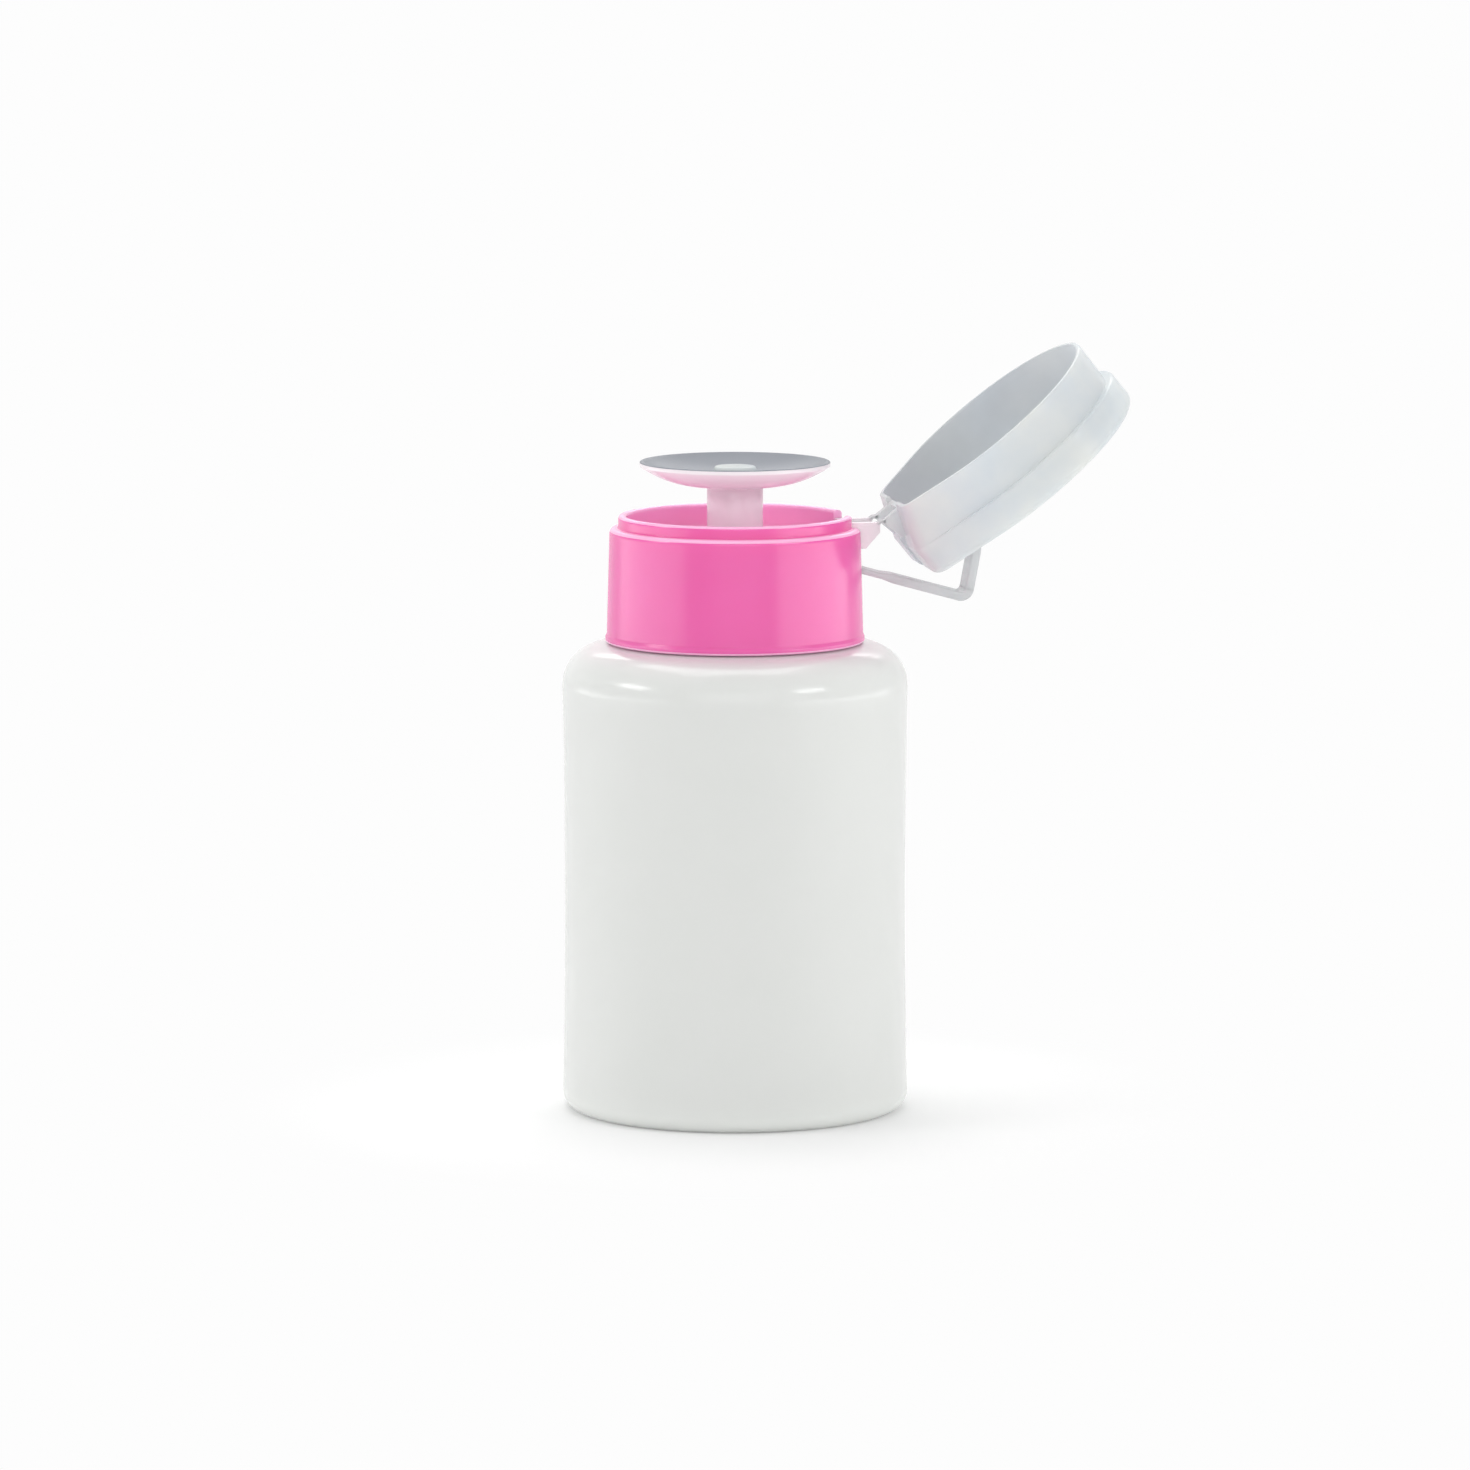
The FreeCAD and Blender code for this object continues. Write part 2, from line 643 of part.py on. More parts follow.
def make_stem():
    """Hollow stem with a piston journal below, a ball seat and the dish's spigot above."""
    button_z = piston_z - stem_button_thick
    cone_top_z = outlet_cone_z + outlet_chamber_r
    return turned(
        (stem_bore_r, button_z),
        [(stem_button_r, button_z),
         (stem_button_r, piston_z),
         (piston_core_r, piston_z),
         (piston_core_r, piston_top_z),
         (stem_r, piston_top_z),
         (stem_r, dish_under_z),
         (spigot_r, dish_under_z),
         (spigot_r, dish_floor_z),
         (outlet_chamber_r, dish_floor_z),
         (outlet_chamber_r, cone_top_z),
         (outlet_throat_r, outlet_throat_z),
         (outlet_throat_r, outlet_throat_z - valve_wall),
         (stem_bore_r, outlet_throat_z - valve_wall)])


def bowl(low, high):
    """Middle of the arc that leaves a low point level and rises to a high one."""
    run = high[0] - low[0]
    rise = high[1] - low[1]
    radius = (run**2 + rise**2) / (2 * rise)
    half = math.asin(run / radius) / 2
    return (low[0] + radius * math.sin(half), low[1] + radius * (1 - math.cos(half)))


def make_dish():
    """Shallow round saucer with a level middle and a thin rim."""
    hole_r = spigot_r + press_gap
    under = (dish_flat_r, dish_under_z)
    floor = (dish_flat_r, dish_floor_z)
    rim_under = (dish_r, dish_rim_z - dish_rim_height)
    rim_out = (dish_r - dish_edge, dish_rim_z - dish_edge)
    rim_in = (dish_r - dish_rim, dish_rim_z)
    return turned(
        (hole_r, dish_under_z),
        [under,
         (bowl(under, rim_under), rim_under),
         (dish_r, rim_out[1]),
         (arc_at(rim_out, dish_edge, 45), (rim_out[0], dish_rim_z)),
         rim_in,
         (bowl(floor, rim_in), floor),
         (hole_r, dish_floor_z)])


def make_outlet_cap():
    """Nozzle on the dish's floor: a blind bore with side holes, plugged into the stem."""
    roof_z = outlet_top_z - outlet_roof
    cap = turned(
        (outlet_bore_r, outlet_plug_z),
        [(outlet_chamber_r - press_gap, outlet_plug_z),
         (outlet_chamber_r - press_gap, dish_floor_z),
         (outlet_r, dish_floor_z),
         (outlet_r, outlet_top_z - outlet_edge),
         (outlet_r - outlet_edge, outlet_top_z),
         (0, outlet_top_z),
         (0, roof_z),
         (outlet_bore_r, roof_z)])
    holes = []
    for i in range(outlet_holes):
        turn = 2 * math.pi * (i + 0.5) / outlet_holes
        way = V(math.cos(turn), math.sin(turn), 0)
        start = V(0, 0, (dish_floor_z + roof_z) / 2) + way * outlet_bore_r / 2
        holes.append(Part.makeCylinder(outlet_hole_r, outlet_r, start, way))
    return cap.cut(holes)


def biarc(p0, t0, p1, t1):
    """Two tangent arcs between two points with given unit directions."""
    chord = p1 - p0
    a = 2 * (1 - t0.dot(t1))
    b = 2 * chord.dot(t0 + t1)
    reach = (-b + math.sqrt(b * b + 4 * a * chord.dot(chord))) / (2 * a)
    middle = (p0 + p1 + (t0 - t1) * reach) * 0.5
    return [tangent_arc(p0, t0, middle), tangent_arc(p1, t1 * -1, middle, True)]


def tangent_arc(start, direction, end, backwards=False):
    """Arc that leaves start along a direction and reaches end."""
    chord = end - start
    side = chord - direction * chord.dot(direction)
    radius = chord.dot(chord) / (2 * side.Length)
    centre = start + side.normalize() * radius
    outward = (start - centre) + (end - centre)
    middle = centre + outward.normalize() * radius
    ends = (end, start) if backwards else (start, end)
    return Part.Arc(ends[0], middle, ends[1]).toShape()


def spring_point(turn):
    """Centre line of the spring and its direction after a number of turns."""
    closed = 2 * spring_wire_r + spring_end_gap
    pitch = (spring_length - 2 * spring_wire_r - 2 * closed * spring_flat_turns) / spring_turns
    first = min(turn, spring_flat_turns)
    last = max(turn - spring_flat_turns - spring_turns, 0)
    z = closed * (first + last) + pitch * (turn - first - last)
    slope = pitch if spring_flat_turns < turn < spring_flat_turns + spring_turns else closed
    angle = 2 * math.pi * turn
    place = V(spring_mean_r * math.cos(angle), spring_mean_r * math.sin(angle), spring_z + spring_wire_r + z)
    way = V(-spring_mean_r * math.sin(angle), spring_mean_r * math.cos(angle), slope / (2 * math.pi))
    return place, way.normalize()


def make_spring():
    """Return spring: one unbroken wire on short tangent arcs, with a flat turn at each end."""
    steps = 4 * spring_all_turns
    stops = [spring_point(i / 4) for i in range(steps + 1)]
    edges = []
    for (p0, t0), (p1, t1) in zip(stops, stops[1:]):
        edges += biarc(p0, t0, p1, t1)
    path = Part.Wire(edges)
    section = Part.Wire(Part.makeCircle(spring_wire_r, stops[0][0], stops[0][1]))
    wire = path.makePipeShell([section], True, False)
    turns_apart = min((stops[i + 4][0] - stops[i][0]).Length for i in range(steps - 3))
    print("spring: least gap between turns %.2f mm" % (turns_apart - 2 * spring_wire_r))
    return wire


parts = {
    "bottle": make_bottle(),
    "collar": make_collar(),
    "hinge_base": make_hinge_base(),
    "lid_hinge_films": make_hinge_films(),
    "strap_root_film": round_bar(root, film_r, -strap_width / 2, strap_width / 2),
    "strap_lower_arm": make_lower_arm(),
    "strap_upper_arm": make_upper_arm(),
    "strap_tip_film": open_lid(round_bar(tip_shut, film_r, -strap_width / 2, strap_width / 2)),
    "lid": make_lid(),
    "neck_gasket": tube(neck_bore_r, neck_r, gasket_z, flange_z),
    "pump_cylinder": make_cylinder(),
    "cylinder_cap": make_cylinder_cap(),
    "dip_tube": make_dip_tube(),
    "spring_seat": make_spring_seat(),
    "return_spring": make_spring(),
    "inlet_ball": ball(inlet_ball_r, inlet_ball_z),
    "piston_seal": make_piston(),
    "pump_stem": make_stem(),
    "dish": make_dish(),
    "outlet_ball": ball(outlet_ball_r, outlet_ball_z),
    "outlet_cap": make_outlet_cap(),
}

os.makedirs("parts", exist_ok=True)
for name, shape in parts.items():
    shape.exportStep("parts/%s.step" % name)
print("hinge %.4f, %.4f  root %.4f, %.4f  tip %.4f, %.4f" % (hinge + root + tip))
print("strap turns: lower %.4f, upper %.4f degrees" % (lower_turn_deg, upper_turn_deg))
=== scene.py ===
"""Dressed model of a push-down dish dispenser: bottle, screw collar, pump, dish, flip lid and snap strap.

Metres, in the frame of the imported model: the origin is the middle of the base on the floor, +Z is up and +X
points at the lid's hinge. The sizes below are in millimetres and are scaled once, where a mesh is made.
"""

import logging
import math
from contextlib import contextmanager
from dataclasses import dataclass, replace
from enum import Enum
from typing import Callable, Iterator, Sequence

import bmesh
import bpy
from mathutils import Matrix, Vector, noise


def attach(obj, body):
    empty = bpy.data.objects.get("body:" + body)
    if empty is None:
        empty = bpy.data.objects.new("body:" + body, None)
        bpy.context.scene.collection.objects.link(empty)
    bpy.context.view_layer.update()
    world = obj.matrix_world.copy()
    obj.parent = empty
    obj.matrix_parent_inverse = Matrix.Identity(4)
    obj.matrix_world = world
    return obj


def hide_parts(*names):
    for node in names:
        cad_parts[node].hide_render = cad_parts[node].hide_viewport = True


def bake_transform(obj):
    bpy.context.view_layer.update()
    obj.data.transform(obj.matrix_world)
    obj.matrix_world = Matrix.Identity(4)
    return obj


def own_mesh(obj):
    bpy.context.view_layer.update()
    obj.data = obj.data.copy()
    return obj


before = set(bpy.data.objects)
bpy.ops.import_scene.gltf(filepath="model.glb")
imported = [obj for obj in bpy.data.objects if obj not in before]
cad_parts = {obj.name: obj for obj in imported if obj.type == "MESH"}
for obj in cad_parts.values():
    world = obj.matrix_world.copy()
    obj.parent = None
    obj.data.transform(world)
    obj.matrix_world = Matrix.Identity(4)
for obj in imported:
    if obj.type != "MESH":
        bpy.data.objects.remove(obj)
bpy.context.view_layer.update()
MM = 0.001
TURN = 2 * math.pi
WELD = 2e-6            # points closer than this are one
SHARP_DEG = 40.0       # edges that turn by more stay crisp
ROUNDED_DEG = 50.0     # the same on CAD shapes whose edges were rounded
FLAT_DEG = 0.02        # faces that turn by less are one flat face
MOULD_EDGE = 0.2       # rounding that the mould leaves on crisp edges
LOG = logging.getLogger("dispenser")

Point = tuple[float, float]
Corner = tuple[float, float, float]
Side = tuple["MouldedPlastic", Callable[[Vector, Vector], bool]]
Shape = tuple[list[Vector], list[list[int]]]
Settings = dict[str | int, object]


class Body(Enum):
    """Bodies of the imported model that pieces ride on."""

    BOTTLE = "bottle"
    PUMP = "pump_body"
    CLOSURE = "closure"
    HEAD = "pump_head"
    LID = "flip_lid"
    STRAP_LOWER = "strap_lower"
    STRAP_UPPER = "strap_upper"


class Cut(Enum):
    """What a tool does to the piece that it is worked into."""

    AWAY = "DIFFERENCE"
    WELDED = "UNION"


def linear(colour: str) -> tuple[float, float, float, float]:
    """Turn an sRGB hex colour to linear light.

    Args:
        colour: Six hex digits with a leading hash.

    Returns:
        Linear red, green, blue and an alpha of one.
    """
    parts = [int(colour[i:i + 2], 16) / 255 for i in (1, 3, 5)]
    r, g, b = [c / 12.92 if c <= 0.04045 else ((c + 0.055) / 1.055) ** 2.4 for c in parts]
    return r, g, b, 1.0


def add_node(tree: bpy.types.NodeTree, kind: str, settings: Settings | None = None,
             links: dict[str | int, bpy.types.NodeSocket] | None = None) -> bpy.types.Node:
    """Add one node with its settings and links.

    Args:
        tree: Node tree that gets the node.
        kind: Node type.
        settings: Values by socket name, socket number or property name.
        links: Output sockets by the name or number of the input that they feed.

    Returns:
        The new node.
    """
    node = tree.nodes.new(kind)
    for key, value in (settings or {}).items():
        if isinstance(key, str) and hasattr(node, key):
            setattr(node, key, value)
        else:
            node.inputs[key].default_value = value
    for key, socket in (links or {}).items():
        tree.links.new(socket, node.inputs[key])
    return node


def empty_tree(owner: bpy.types.Material | bpy.types.World) -> bpy.types.NodeTree:
    """Switch an owner to nodes and clear the ones that it starts with.

    Args:
        owner: Material or world.

    Returns:
        Its empty tree.
    """
    owner.use_nodes = True
    owner.node_tree.nodes.clear()
    return owner.node_tree


@dataclass(frozen=True)
class Finish:
    """A finish, named for its material and how the surface was made, with the name of its slot."""

    name: str
    slot: str

    def material(self) -> bpy.types.Material:
        """Build the material once and hand the same one out again.

        Returns:
            The node material.
        """
        made = bpy.data.materials.get(self.name)
        if not made:
            made = bpy.data.materials.new(self.name)
            tree = empty_tree(made)
            add_node(tree, "ShaderNodeOutputMaterial", links={"Surface": self.surface(tree)})
        return made

    def surface(self, tree: bpy.types.NodeTree) -> bpy.types.NodeSocket:
        """Each kind of finish adds its own nodes here."""
        raise NotImplementedError


@dataclass(frozen=True)
class MouldedPlastic(Finish):
    """A moulded or blown plastic, with the mould's grain and the flow marks of the melt.

    Attributes:
        colour: Colour of the fresh surface.
        deep: Colour where the melt is denser or thicker.
        roughness: Gloss left by the mould.
        roughness_swing: How far the gloss wanders over the surface.
        ior: Index of refraction.
        grain_mm: Width of the mould's grain, drawn coarser than the real one so that it shows.
        grain_depth_mm: Height of that grain.
        flow_mm: Width of the slow waves in colour and surface.
        flow_depth_mm: Height of those waves.
        translucency: Share of light that scatters inside the wall.
        scatter_mm: How far it spreads there.
        opacity: Share of light that each face holds back; the rest passes straight through.
        glow: Share of light that each face passes on spread out, as milky sheet does.
        specular: Strength of its reflections.
        through: Colour of the light passed on, where it isn't the surface's own.
    """

    colour: str
    deep: str
    roughness: float
    roughness_swing: float = 0.04
    ior: float = 1.49
    grain_mm: float = 0.6
    grain_depth_mm: float = 0.003
    flow_mm: float = 9.0
    flow_depth_mm: float = 0.02
    translucency: float = 0.0
    scatter_mm: float = 1.0
    opacity: float = 1.0
    glow: float = 0.0
    specular: float = 0.5
    through: str = ""

    def surface(self, tree: bpy.types.NodeTree) -> bpy.types.NodeSocket:
        """Add a grained skin over a clouded wall that may let light through.

        Args:
            tree: Tree that gets the nodes.

        Returns:
            Socket of the surface.
        """
        place = add_node(tree, "ShaderNodeTexCoord").outputs["Object"]
        flow, grain = [add_node(tree, "ShaderNodeTexNoise", {"Scale": 1 / (width * MM), "Detail": detail},
                                {"Vector": place}).outputs["Fac"]
                       for width, detail in ((self.flow_mm, 3.0), (self.grain_mm, 2.0))]
        tint = add_node(tree, "ShaderNodeMix",
                        {"data_type": "RGBA", 6: linear(self.colour), 7: linear(self.deep)},
                        {0: flow}).outputs[2]
        gloss = add_node(tree, "ShaderNodeMapRange",
                         {"To Min": self.roughness - self.roughness_swing,
                          "To Max": self.roughness + self.roughness_swing}, {"Value": grain})
        waves = add_node(tree, "ShaderNodeBump", {"Distance": self.flow_depth_mm * MM}, {"Height": flow})
        skin = add_node(tree, "ShaderNodeBump", {"Distance": self.grain_depth_mm * MM},
                        {"Height": grain, "Normal": waves.outputs["Normal"]}).outputs["Normal"]
        surface = add_node(tree, "ShaderNodeBsdfPrincipled",
                           {"IOR": self.ior, "Subsurface Weight": self.translucency,
                            "Subsurface Scale": self.scatter_mm * MM, "Subsurface Radius": (1.0, 1.0, 1.0),
                            "Alpha": self.opacity, "Specular IOR Level": self.specular},
                           {"Base Color": tint, "Roughness": gloss.outputs["Result"],
                            "Normal": skin}).outputs["BSDF"]
        if self.glow:
            fixed = {"Color": linear(self.through)} if self.through else {}
            own = {} if self.through else {"Color": tint}
            spread = add_node(tree, "ShaderNodeBsdfTranslucent", fixed, {"Normal": skin, **own})
            surface = add_node(tree, "ShaderNodeMixShader", {0: self.glow},
                               {1: surface, 2: spread.outputs["BSDF"]}).outputs[0]
        return surface


@dataclass(frozen=True)
class DrawnSteel(Finish):
    """Bright stainless steel with the fine marks of drawing or polishing.

    Attributes:
        colour: Colour of its reflections.
        roughness: Middle of its gloss.
        scratch_mm: Width of the marks, drawn coarser than the real ones so that they show.
        shallow: How many times wider than deep they are.
    """

    colour: str
    roughness: float
    scratch_mm: float
    shallow: float = 50.0

    def surface(self, tree: bpy.types.NodeTree) -> bpy.types.NodeSocket:
        """Add bright metal whose gloss is broken by the marks.

        Args:
            tree: Tree that gets the nodes.

        Returns:
            Socket of the surface.
        """
        place = add_node(tree, "ShaderNodeTexCoord").outputs["Object"]
        marks = add_node(tree, "ShaderNodeTexNoise", {"Scale": 1 / (self.scratch_mm * MM), "Detail": 4.0},
                         {"Vector": place}).outputs["Fac"]
        gloss = add_node(tree, "ShaderNodeMapRange",
                         {"To Min": self.roughness / 2, "To Max": self.roughness * 1.5}, {"Value": marks})
        skin = add_node(tree, "ShaderNodeBump", {"Distance": self.scratch_mm * MM / self.shallow},
                        {"Height": marks})
        return add_node(tree, "ShaderNodeBsdfPrincipled",
                        {"Base Color": linear(self.colour), "Metallic": 1.0},
                        {"Roughness": gloss.outputs["Result"],
                         "Normal": skin.outputs["Normal"]}).outputs["BSDF"]


# Blown HDPE: a milky wall with a satin, slightly wavy skin that softens every highlight
HDPE_WHITE = MouldedPlastic("HDPE blown white", "hdpe_white", "#EBEDEA", "#E7EAE6", roughness=0.19,
                            roughness_swing=0.03, ior=1.54, grain_mm=0.5, grain_depth_mm=0.0012,
                            flow_mm=14.0, flow_depth_mm=0.03, translucency=0.6, scatter_mm=3.0,
                            specular=0.42)
# Moulded PP with pink pigment: dense colour under a glossy skin
PP_PINK = MouldedPlastic("PP moulded pink", "pp_pink", "#F15CAF", "#ED55A8", roughness=0.25,
                         roughness_swing=0.03, grain_depth_mm=0.002, flow_depth_mm=0.015,
                         translucency=0.4, scatter_mm=2.0, specular=0.85)
# The same pink PP, painted paler inside the ring and on the deck, as painted light for the light that comes
# through the thin walls, and on the lip, shoulder and foot edges as painted highlights
PP_PINK_PAINTED_LIGHT = replace(PP_PINK, name="PP moulded pink, painted light", colour="#FFB9DE", deep="#FFB0D9", specular=0.5)
# Moulded PP without pigment, frosted by the outer mould: cloudy, and edges behind it still show faintly
PP_NATURAL = MouldedPlastic("PP moulded natural, frosted", "pp_natural", "#FFFDF3", "#D7E3EE",
                            roughness=0.2, flow_mm=11.0, opacity=0.75, glow=0.3)
# The same PP in darker colours on the lid's inside: painted shade, as the inside gets less light; it lets
# more light through than it sends back
PP_INSIDE_PAINTED_SHADE = replace(PP_NATURAL, name="PP moulded natural, inside, painted shade", colour="#BCC3CB", deep="#69737F",
                      roughness=0.16, roughness_swing=0.03, grain_depth_mm=0.002, flow_mm=13.0,
                      flow_depth_mm=0.01, opacity=0.85, glow=0.4, through="#FFFFFF")
# The same PP on the dish's top face: an even grey with weak reflections, painted shade that makes the top
# darker than the underside
PP_DISH_TOP_PAINTED_SHADE = replace(PP_NATURAL, name="PP moulded natural, dish top, painted shade", colour="#A0A5AC", deep="#989EA5",
                  roughness=0.36, grain_depth_mm=0.002, flow_mm=9.0, flow_depth_mm=0.01, opacity=0.85,
                  glow=0.2, specular=0.2)
# The same PP in the strap and the films: flexed and full of small scattering marks, so it is greyer
PP_STRAP = replace(PP_NATURAL, name="PP moulded natural, flexed", colour="#EAEBEB", deep="#D8DCDE",
                   flow_mm=3.0, opacity=0.72, glow=0.35)
# The same PP in thicker sections, such as stem, saucer and hinge foot: milky all through, with a faint pink
# tint that paints the pink light bounced from the collar
PP_MILKY_PINK_BOUNCE = replace(PP_NATURAL, name="PP moulded natural, thick, painted pink bounce", colour="#FFF6FA", deep="#FAEEF4",
                   roughness=0.22, flow_mm=7.0, translucency=0.15, scatter_mm=2.0, opacity=0.94, glow=0.0)
# EVA sheet: soft, matt and off-white
EVA_SEAL = MouldedPlastic("EVA sheet", "eva_seal", "#EDEBE4", "#E2DFD6", roughness=0.6,
                          roughness_swing=0.08, ior=1.48, grain_mm=0.8, grain_depth_mm=0.02, flow_mm=3.0)
# Moulded LDPE: waxy and slightly milky
LDPE_SEAL = MouldedPlastic("LDPE moulded", "ldpe_seal", "#E9ECEB", "#DEE2E0", roughness=0.4,
                           roughness_swing=0.06, ior=1.51, grain_depth_mm=0.005, flow_mm=4.0,
                           translucency=0.4, scatter_mm=1.5)
# Drawn spring wire and polished balls: bright, with fine marks
STEEL_WIRE = DrawnSteel("Stainless steel drawn wire", "steel_wire", "#C9CCD0", roughness=0.24, scratch_mm=0.3)
STEEL_BALL = DrawnSteel("Stainless steel polished ball", "steel_ball", "#D4D6D8", roughness=0.1,
                        scratch_mm=0.6)

CAD_SHAPES: dict[str, Finish] = {
    "neck_gasket": EVA_SEAL, "pump_cylinder": PP_NATURAL, "cylinder_cap": PP_NATURAL, "dip_tube": LDPE_SEAL,
    "spring_seat": PP_NATURAL, "inlet_ball": STEEL_BALL, "piston_seal": LDPE_SEAL, "outlet_ball": STEEL_BALL}


def linked(name: str, data: bpy.types.ID) -> bpy.types.Object:
    """Make an object of some data and put it in the scene.

    Args:
        name: Name of the object.
        data: Its data.

    Returns:
        The new object.
    """
    made = bpy.data.objects.new(name, data)
    bpy.context.scene.collection.objects.link(made)
    return made


@contextmanager
def welded(mesh: bpy.types.Mesh) -> Iterator[bmesh.types.BMesh]:
    """Hand out a mesh for editing, with points at one place made one, and write it back.

    Args:
        mesh: Mesh that changes.

    Yields:
        The mesh in a form that can be edited.
    """
    shaped = bmesh.new()
    shaped.from_mesh(mesh)
    bmesh.ops.remove_doubles(shaped, verts=shaped.verts, dist=WELD)
    yield shaped
    shaped.to_mesh(mesh)
    shaped.free()


def solid(name: str, shape: Shape) -> bpy.types.Object:
    """Make a clean mesh object.

    Args:
        name: Name of the object.
        shape: Points in millimetres, and the point numbers of each face.

    Returns:
        The new object.
    """
    verts, faces = shape
    mesh = bpy.data.meshes.new(name)
    mesh.from_pydata([v * MM for v in verts], [], faces)
    with welded(mesh) as shaped:
        bmesh.ops.delete(shaped, geom=[e for e in shaped.edges if not e.link_faces], context="EDGES")
        bmesh.ops.recalc_face_normals(shaped, faces=shaped.faces)
    return linked(name, mesh)


def applied(made: bpy.types.Object) -> None:
    """Work an object's modifiers into its mesh.

    Args:
        made: Object that changes.
    """
    shaped = bpy.data.meshes.new_from_object(made.evaluated_get(bpy.context.evaluated_depsgraph_get()))
    made.modifiers.clear()
    shaped.name = made.name
    made.data = shaped


def carved(made: bpy.types.Object, tools: Sequence[tuple[bpy.types.Object, Cut]]) -> None:
    """Cut tools out of an object or weld them to it, one after the other, and remove them.

    Args:
        made: Object that changes.
        tools: Closed meshes with what each one does.
    """
    for tool, work in tools:
        step = made.modifiers.new(work.name, "BOOLEAN")
        step.operation = work.value
        step.solver = "EXACT"
        step.object = tool
    applied(made)
    for tool, _ in tools:
        bpy.data.objects.remove(tool)


def finished(made: bpy.types.Object, finish: Finish, sides: Sequence[Side] = (),
             crease_deg: float = SHARP_DEG) -> bpy.types.Object:
    """Shade an object smooth between its crisp edges and give it its finish.

    Args:
        made: Object to finish.
        finish: Its finish, which also gives the material slot.
        sides: Finishes of faces that differ, each with a test of a face's middle in millimetres and normal.
        crease_deg: Turn from which an edge is crisp.

    Returns:
        The same object, not yet riding on a body.
    """
    mesh = made.data
    mesh.shade_smooth()
    mesh.set_sharp_from_angle(angle=math.radians(crease_deg))
    mesh.materials.clear()
    mesh.materials.append(finish.material())
    for i, (other, test) in enumerate(sides):
        mesh.materials.append(other.material())
        for face in mesh.polygons:
            if test(face.center / MM, face.normal):
                face.material_index = i + 1
    LOG.info("%s: %d faces", made.name, len(mesh.polygons))
    return made


def piece(name: str, shape: Shape, finish: Finish) -> bpy.types.Object:
    """Make and finish a mesh piece from points in millimetres."""
    return finished(solid(name, shape), finish)


def mounted(made: bpy.types.Object, body: Body, node: str = "") -> None:
    """Let a piece ride on a body and stand for a CAD node, where it takes the place of one.

    Args:
        made: The piece.
        body: Body that it rides on.
        node: CAD node, or none.
    """
    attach(made, body.value)
    if node:
        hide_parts(node)


def dress(node: str, finish: Finish) -> None:
    """Give a CAD node that stays in view its finish.

    Args:
        node: CAD node.
        finish: Its finish.
    """
    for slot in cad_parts[node].material_slots:
        slot.material = finish.material()
    LOG.info("%s: CAD shape, %s", node, finish.name)


def softened(node: str, name: str, body: Body) -> None:
    """Copy a thick CAD node with its crisp edges rounded as a mould leaves them, to stand for the node.

    Args:
        node: CAD node.
        name: Name of the piece.
        body: Body that it rides on.
    """
    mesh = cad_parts[node].data.copy()
    mesh.name = name
    with welded(mesh) as shaped:
        bmesh.ops.dissolve_limit(shaped, angle_limit=math.radians(FLAT_DEG), verts=shaped.verts,
                                 edges=shaped.edges)
    made = linked(name, mesh)
    bevel = made.modifiers.new("edges", "BEVEL")
    bevel.width = MOULD_EDGE * MM
    bevel.segments = 2
    bevel.limit_method = "ANGLE"
    bevel.angle_limit = math.radians(SHARP_DEG)
    bevel.miter_outer = "MITER_ARC"
    applied(made)
    # Milky finish, with a faint pink that paints light bounced from the collar
    finished(made, PP_MILKY_PINK_BOUNCE, crease_deg=ROUNDED_DEG)
    mounted(made, body, node)


def rings(loops: Sequence[Sequence[Vector]], closed: bool = False) -> Shape:
    """Skin a run of equal loops of points.

    Args:
        loops: Loops in order, all with the same number of points.
        closed: Join the last loop to the first, where otherwise both get a face.

    Returns:
        Points and faces.
    """
    count = len(loops[0])
    verts = [p for loop in loops for p in loop]
    faces = []
    for i in range(len(loops) if closed else len(loops) - 1):
        a = i * count
        b = (i + 1) % len(loops) * count
        faces += [[a + j, a + (j + 1) % count, b + (j + 1) % count, b + j] for j in range(count)]
    if not closed:
        faces += [list(range(count)), list(range(len(verts) - count, len(verts)))]
    return verts, faces


def rounded(corners: Sequence[Corner], steps: int = 4, support: float = 0.0) -> list[Point]:
    """Closed outline with rounded corners.

    Args:
        corners: Two coordinates and the rounding of each corner, or none where that is zero.
        steps: Points along each rounding, less one.
        support: Gap to one more point before and after each rounding, which keeps the straight runs flat.

    Returns:
        Points of the outline.
    """
    outline: list[Point] = []
    for i, (u, v, radius) in enumerate(corners):
        here = Vector((u, v))
        if not radius:
            outline.append((u, v))
            continue
        to_last = Vector(corners[i - 1][:2]) - here
        to_next = Vector(corners[(i + 1) % len(corners)][:2]) - here
        half = to_last.angle(to_next) / 2
        to_last.normalize()
        to_next.normalize()
        reach = radius / math.tan(half)
        centre = here + (to_last + to_next).normalized() * (radius / math.sin(half))
        first = here + to_last * reach - centre
        last = here + to_next * reach - centre
        start = math.atan2(first.y, first.x)
        turn = (math.atan2(last.y, last.x) - start + math.pi) % TURN - math.pi
        if support:
            outline.append(tuple(here + to_last * (reach + support)))
        outline += [arc_point(tuple(centre), radius, start + turn * k / steps) for k in range(steps + 1)]
        if support:
            outline.append(tuple(here + to_next * (reach + support)))
    return outline


def arc_point(centre: Point, radius: float, angle: float) -> Point:
    """Point of a circle at an angle."""
    return centre[0] + radius * math.cos(angle), centre[1] + radius * math.sin(angle)


def bowl(low: Point, high: Point, steps: int) -> list[Point]:
    """Arc that leaves a low point level and rises to a high one.

    Args:
        low: Where it is level.
        high: Where it ends.
        steps: Points, less one.

    Returns:
        Points from low to high.
    """
    run = high[0] - low[0]
    rise = high[1] - low[1]
    radius = (run**2 + rise**2) / (2 * rise)
    turn = math.asin(run / radius)
    return [(low[0] + radius * math.sin(turn * k / steps),
             low[1] + radius * (1 - math.cos(turn * k / steps))) for k in range(steps + 1)]


def even_angles(count: int) -> list[float]:
    """Angles all round, evenly spaced."""
    return [TURN * i / count for i in range(count)]


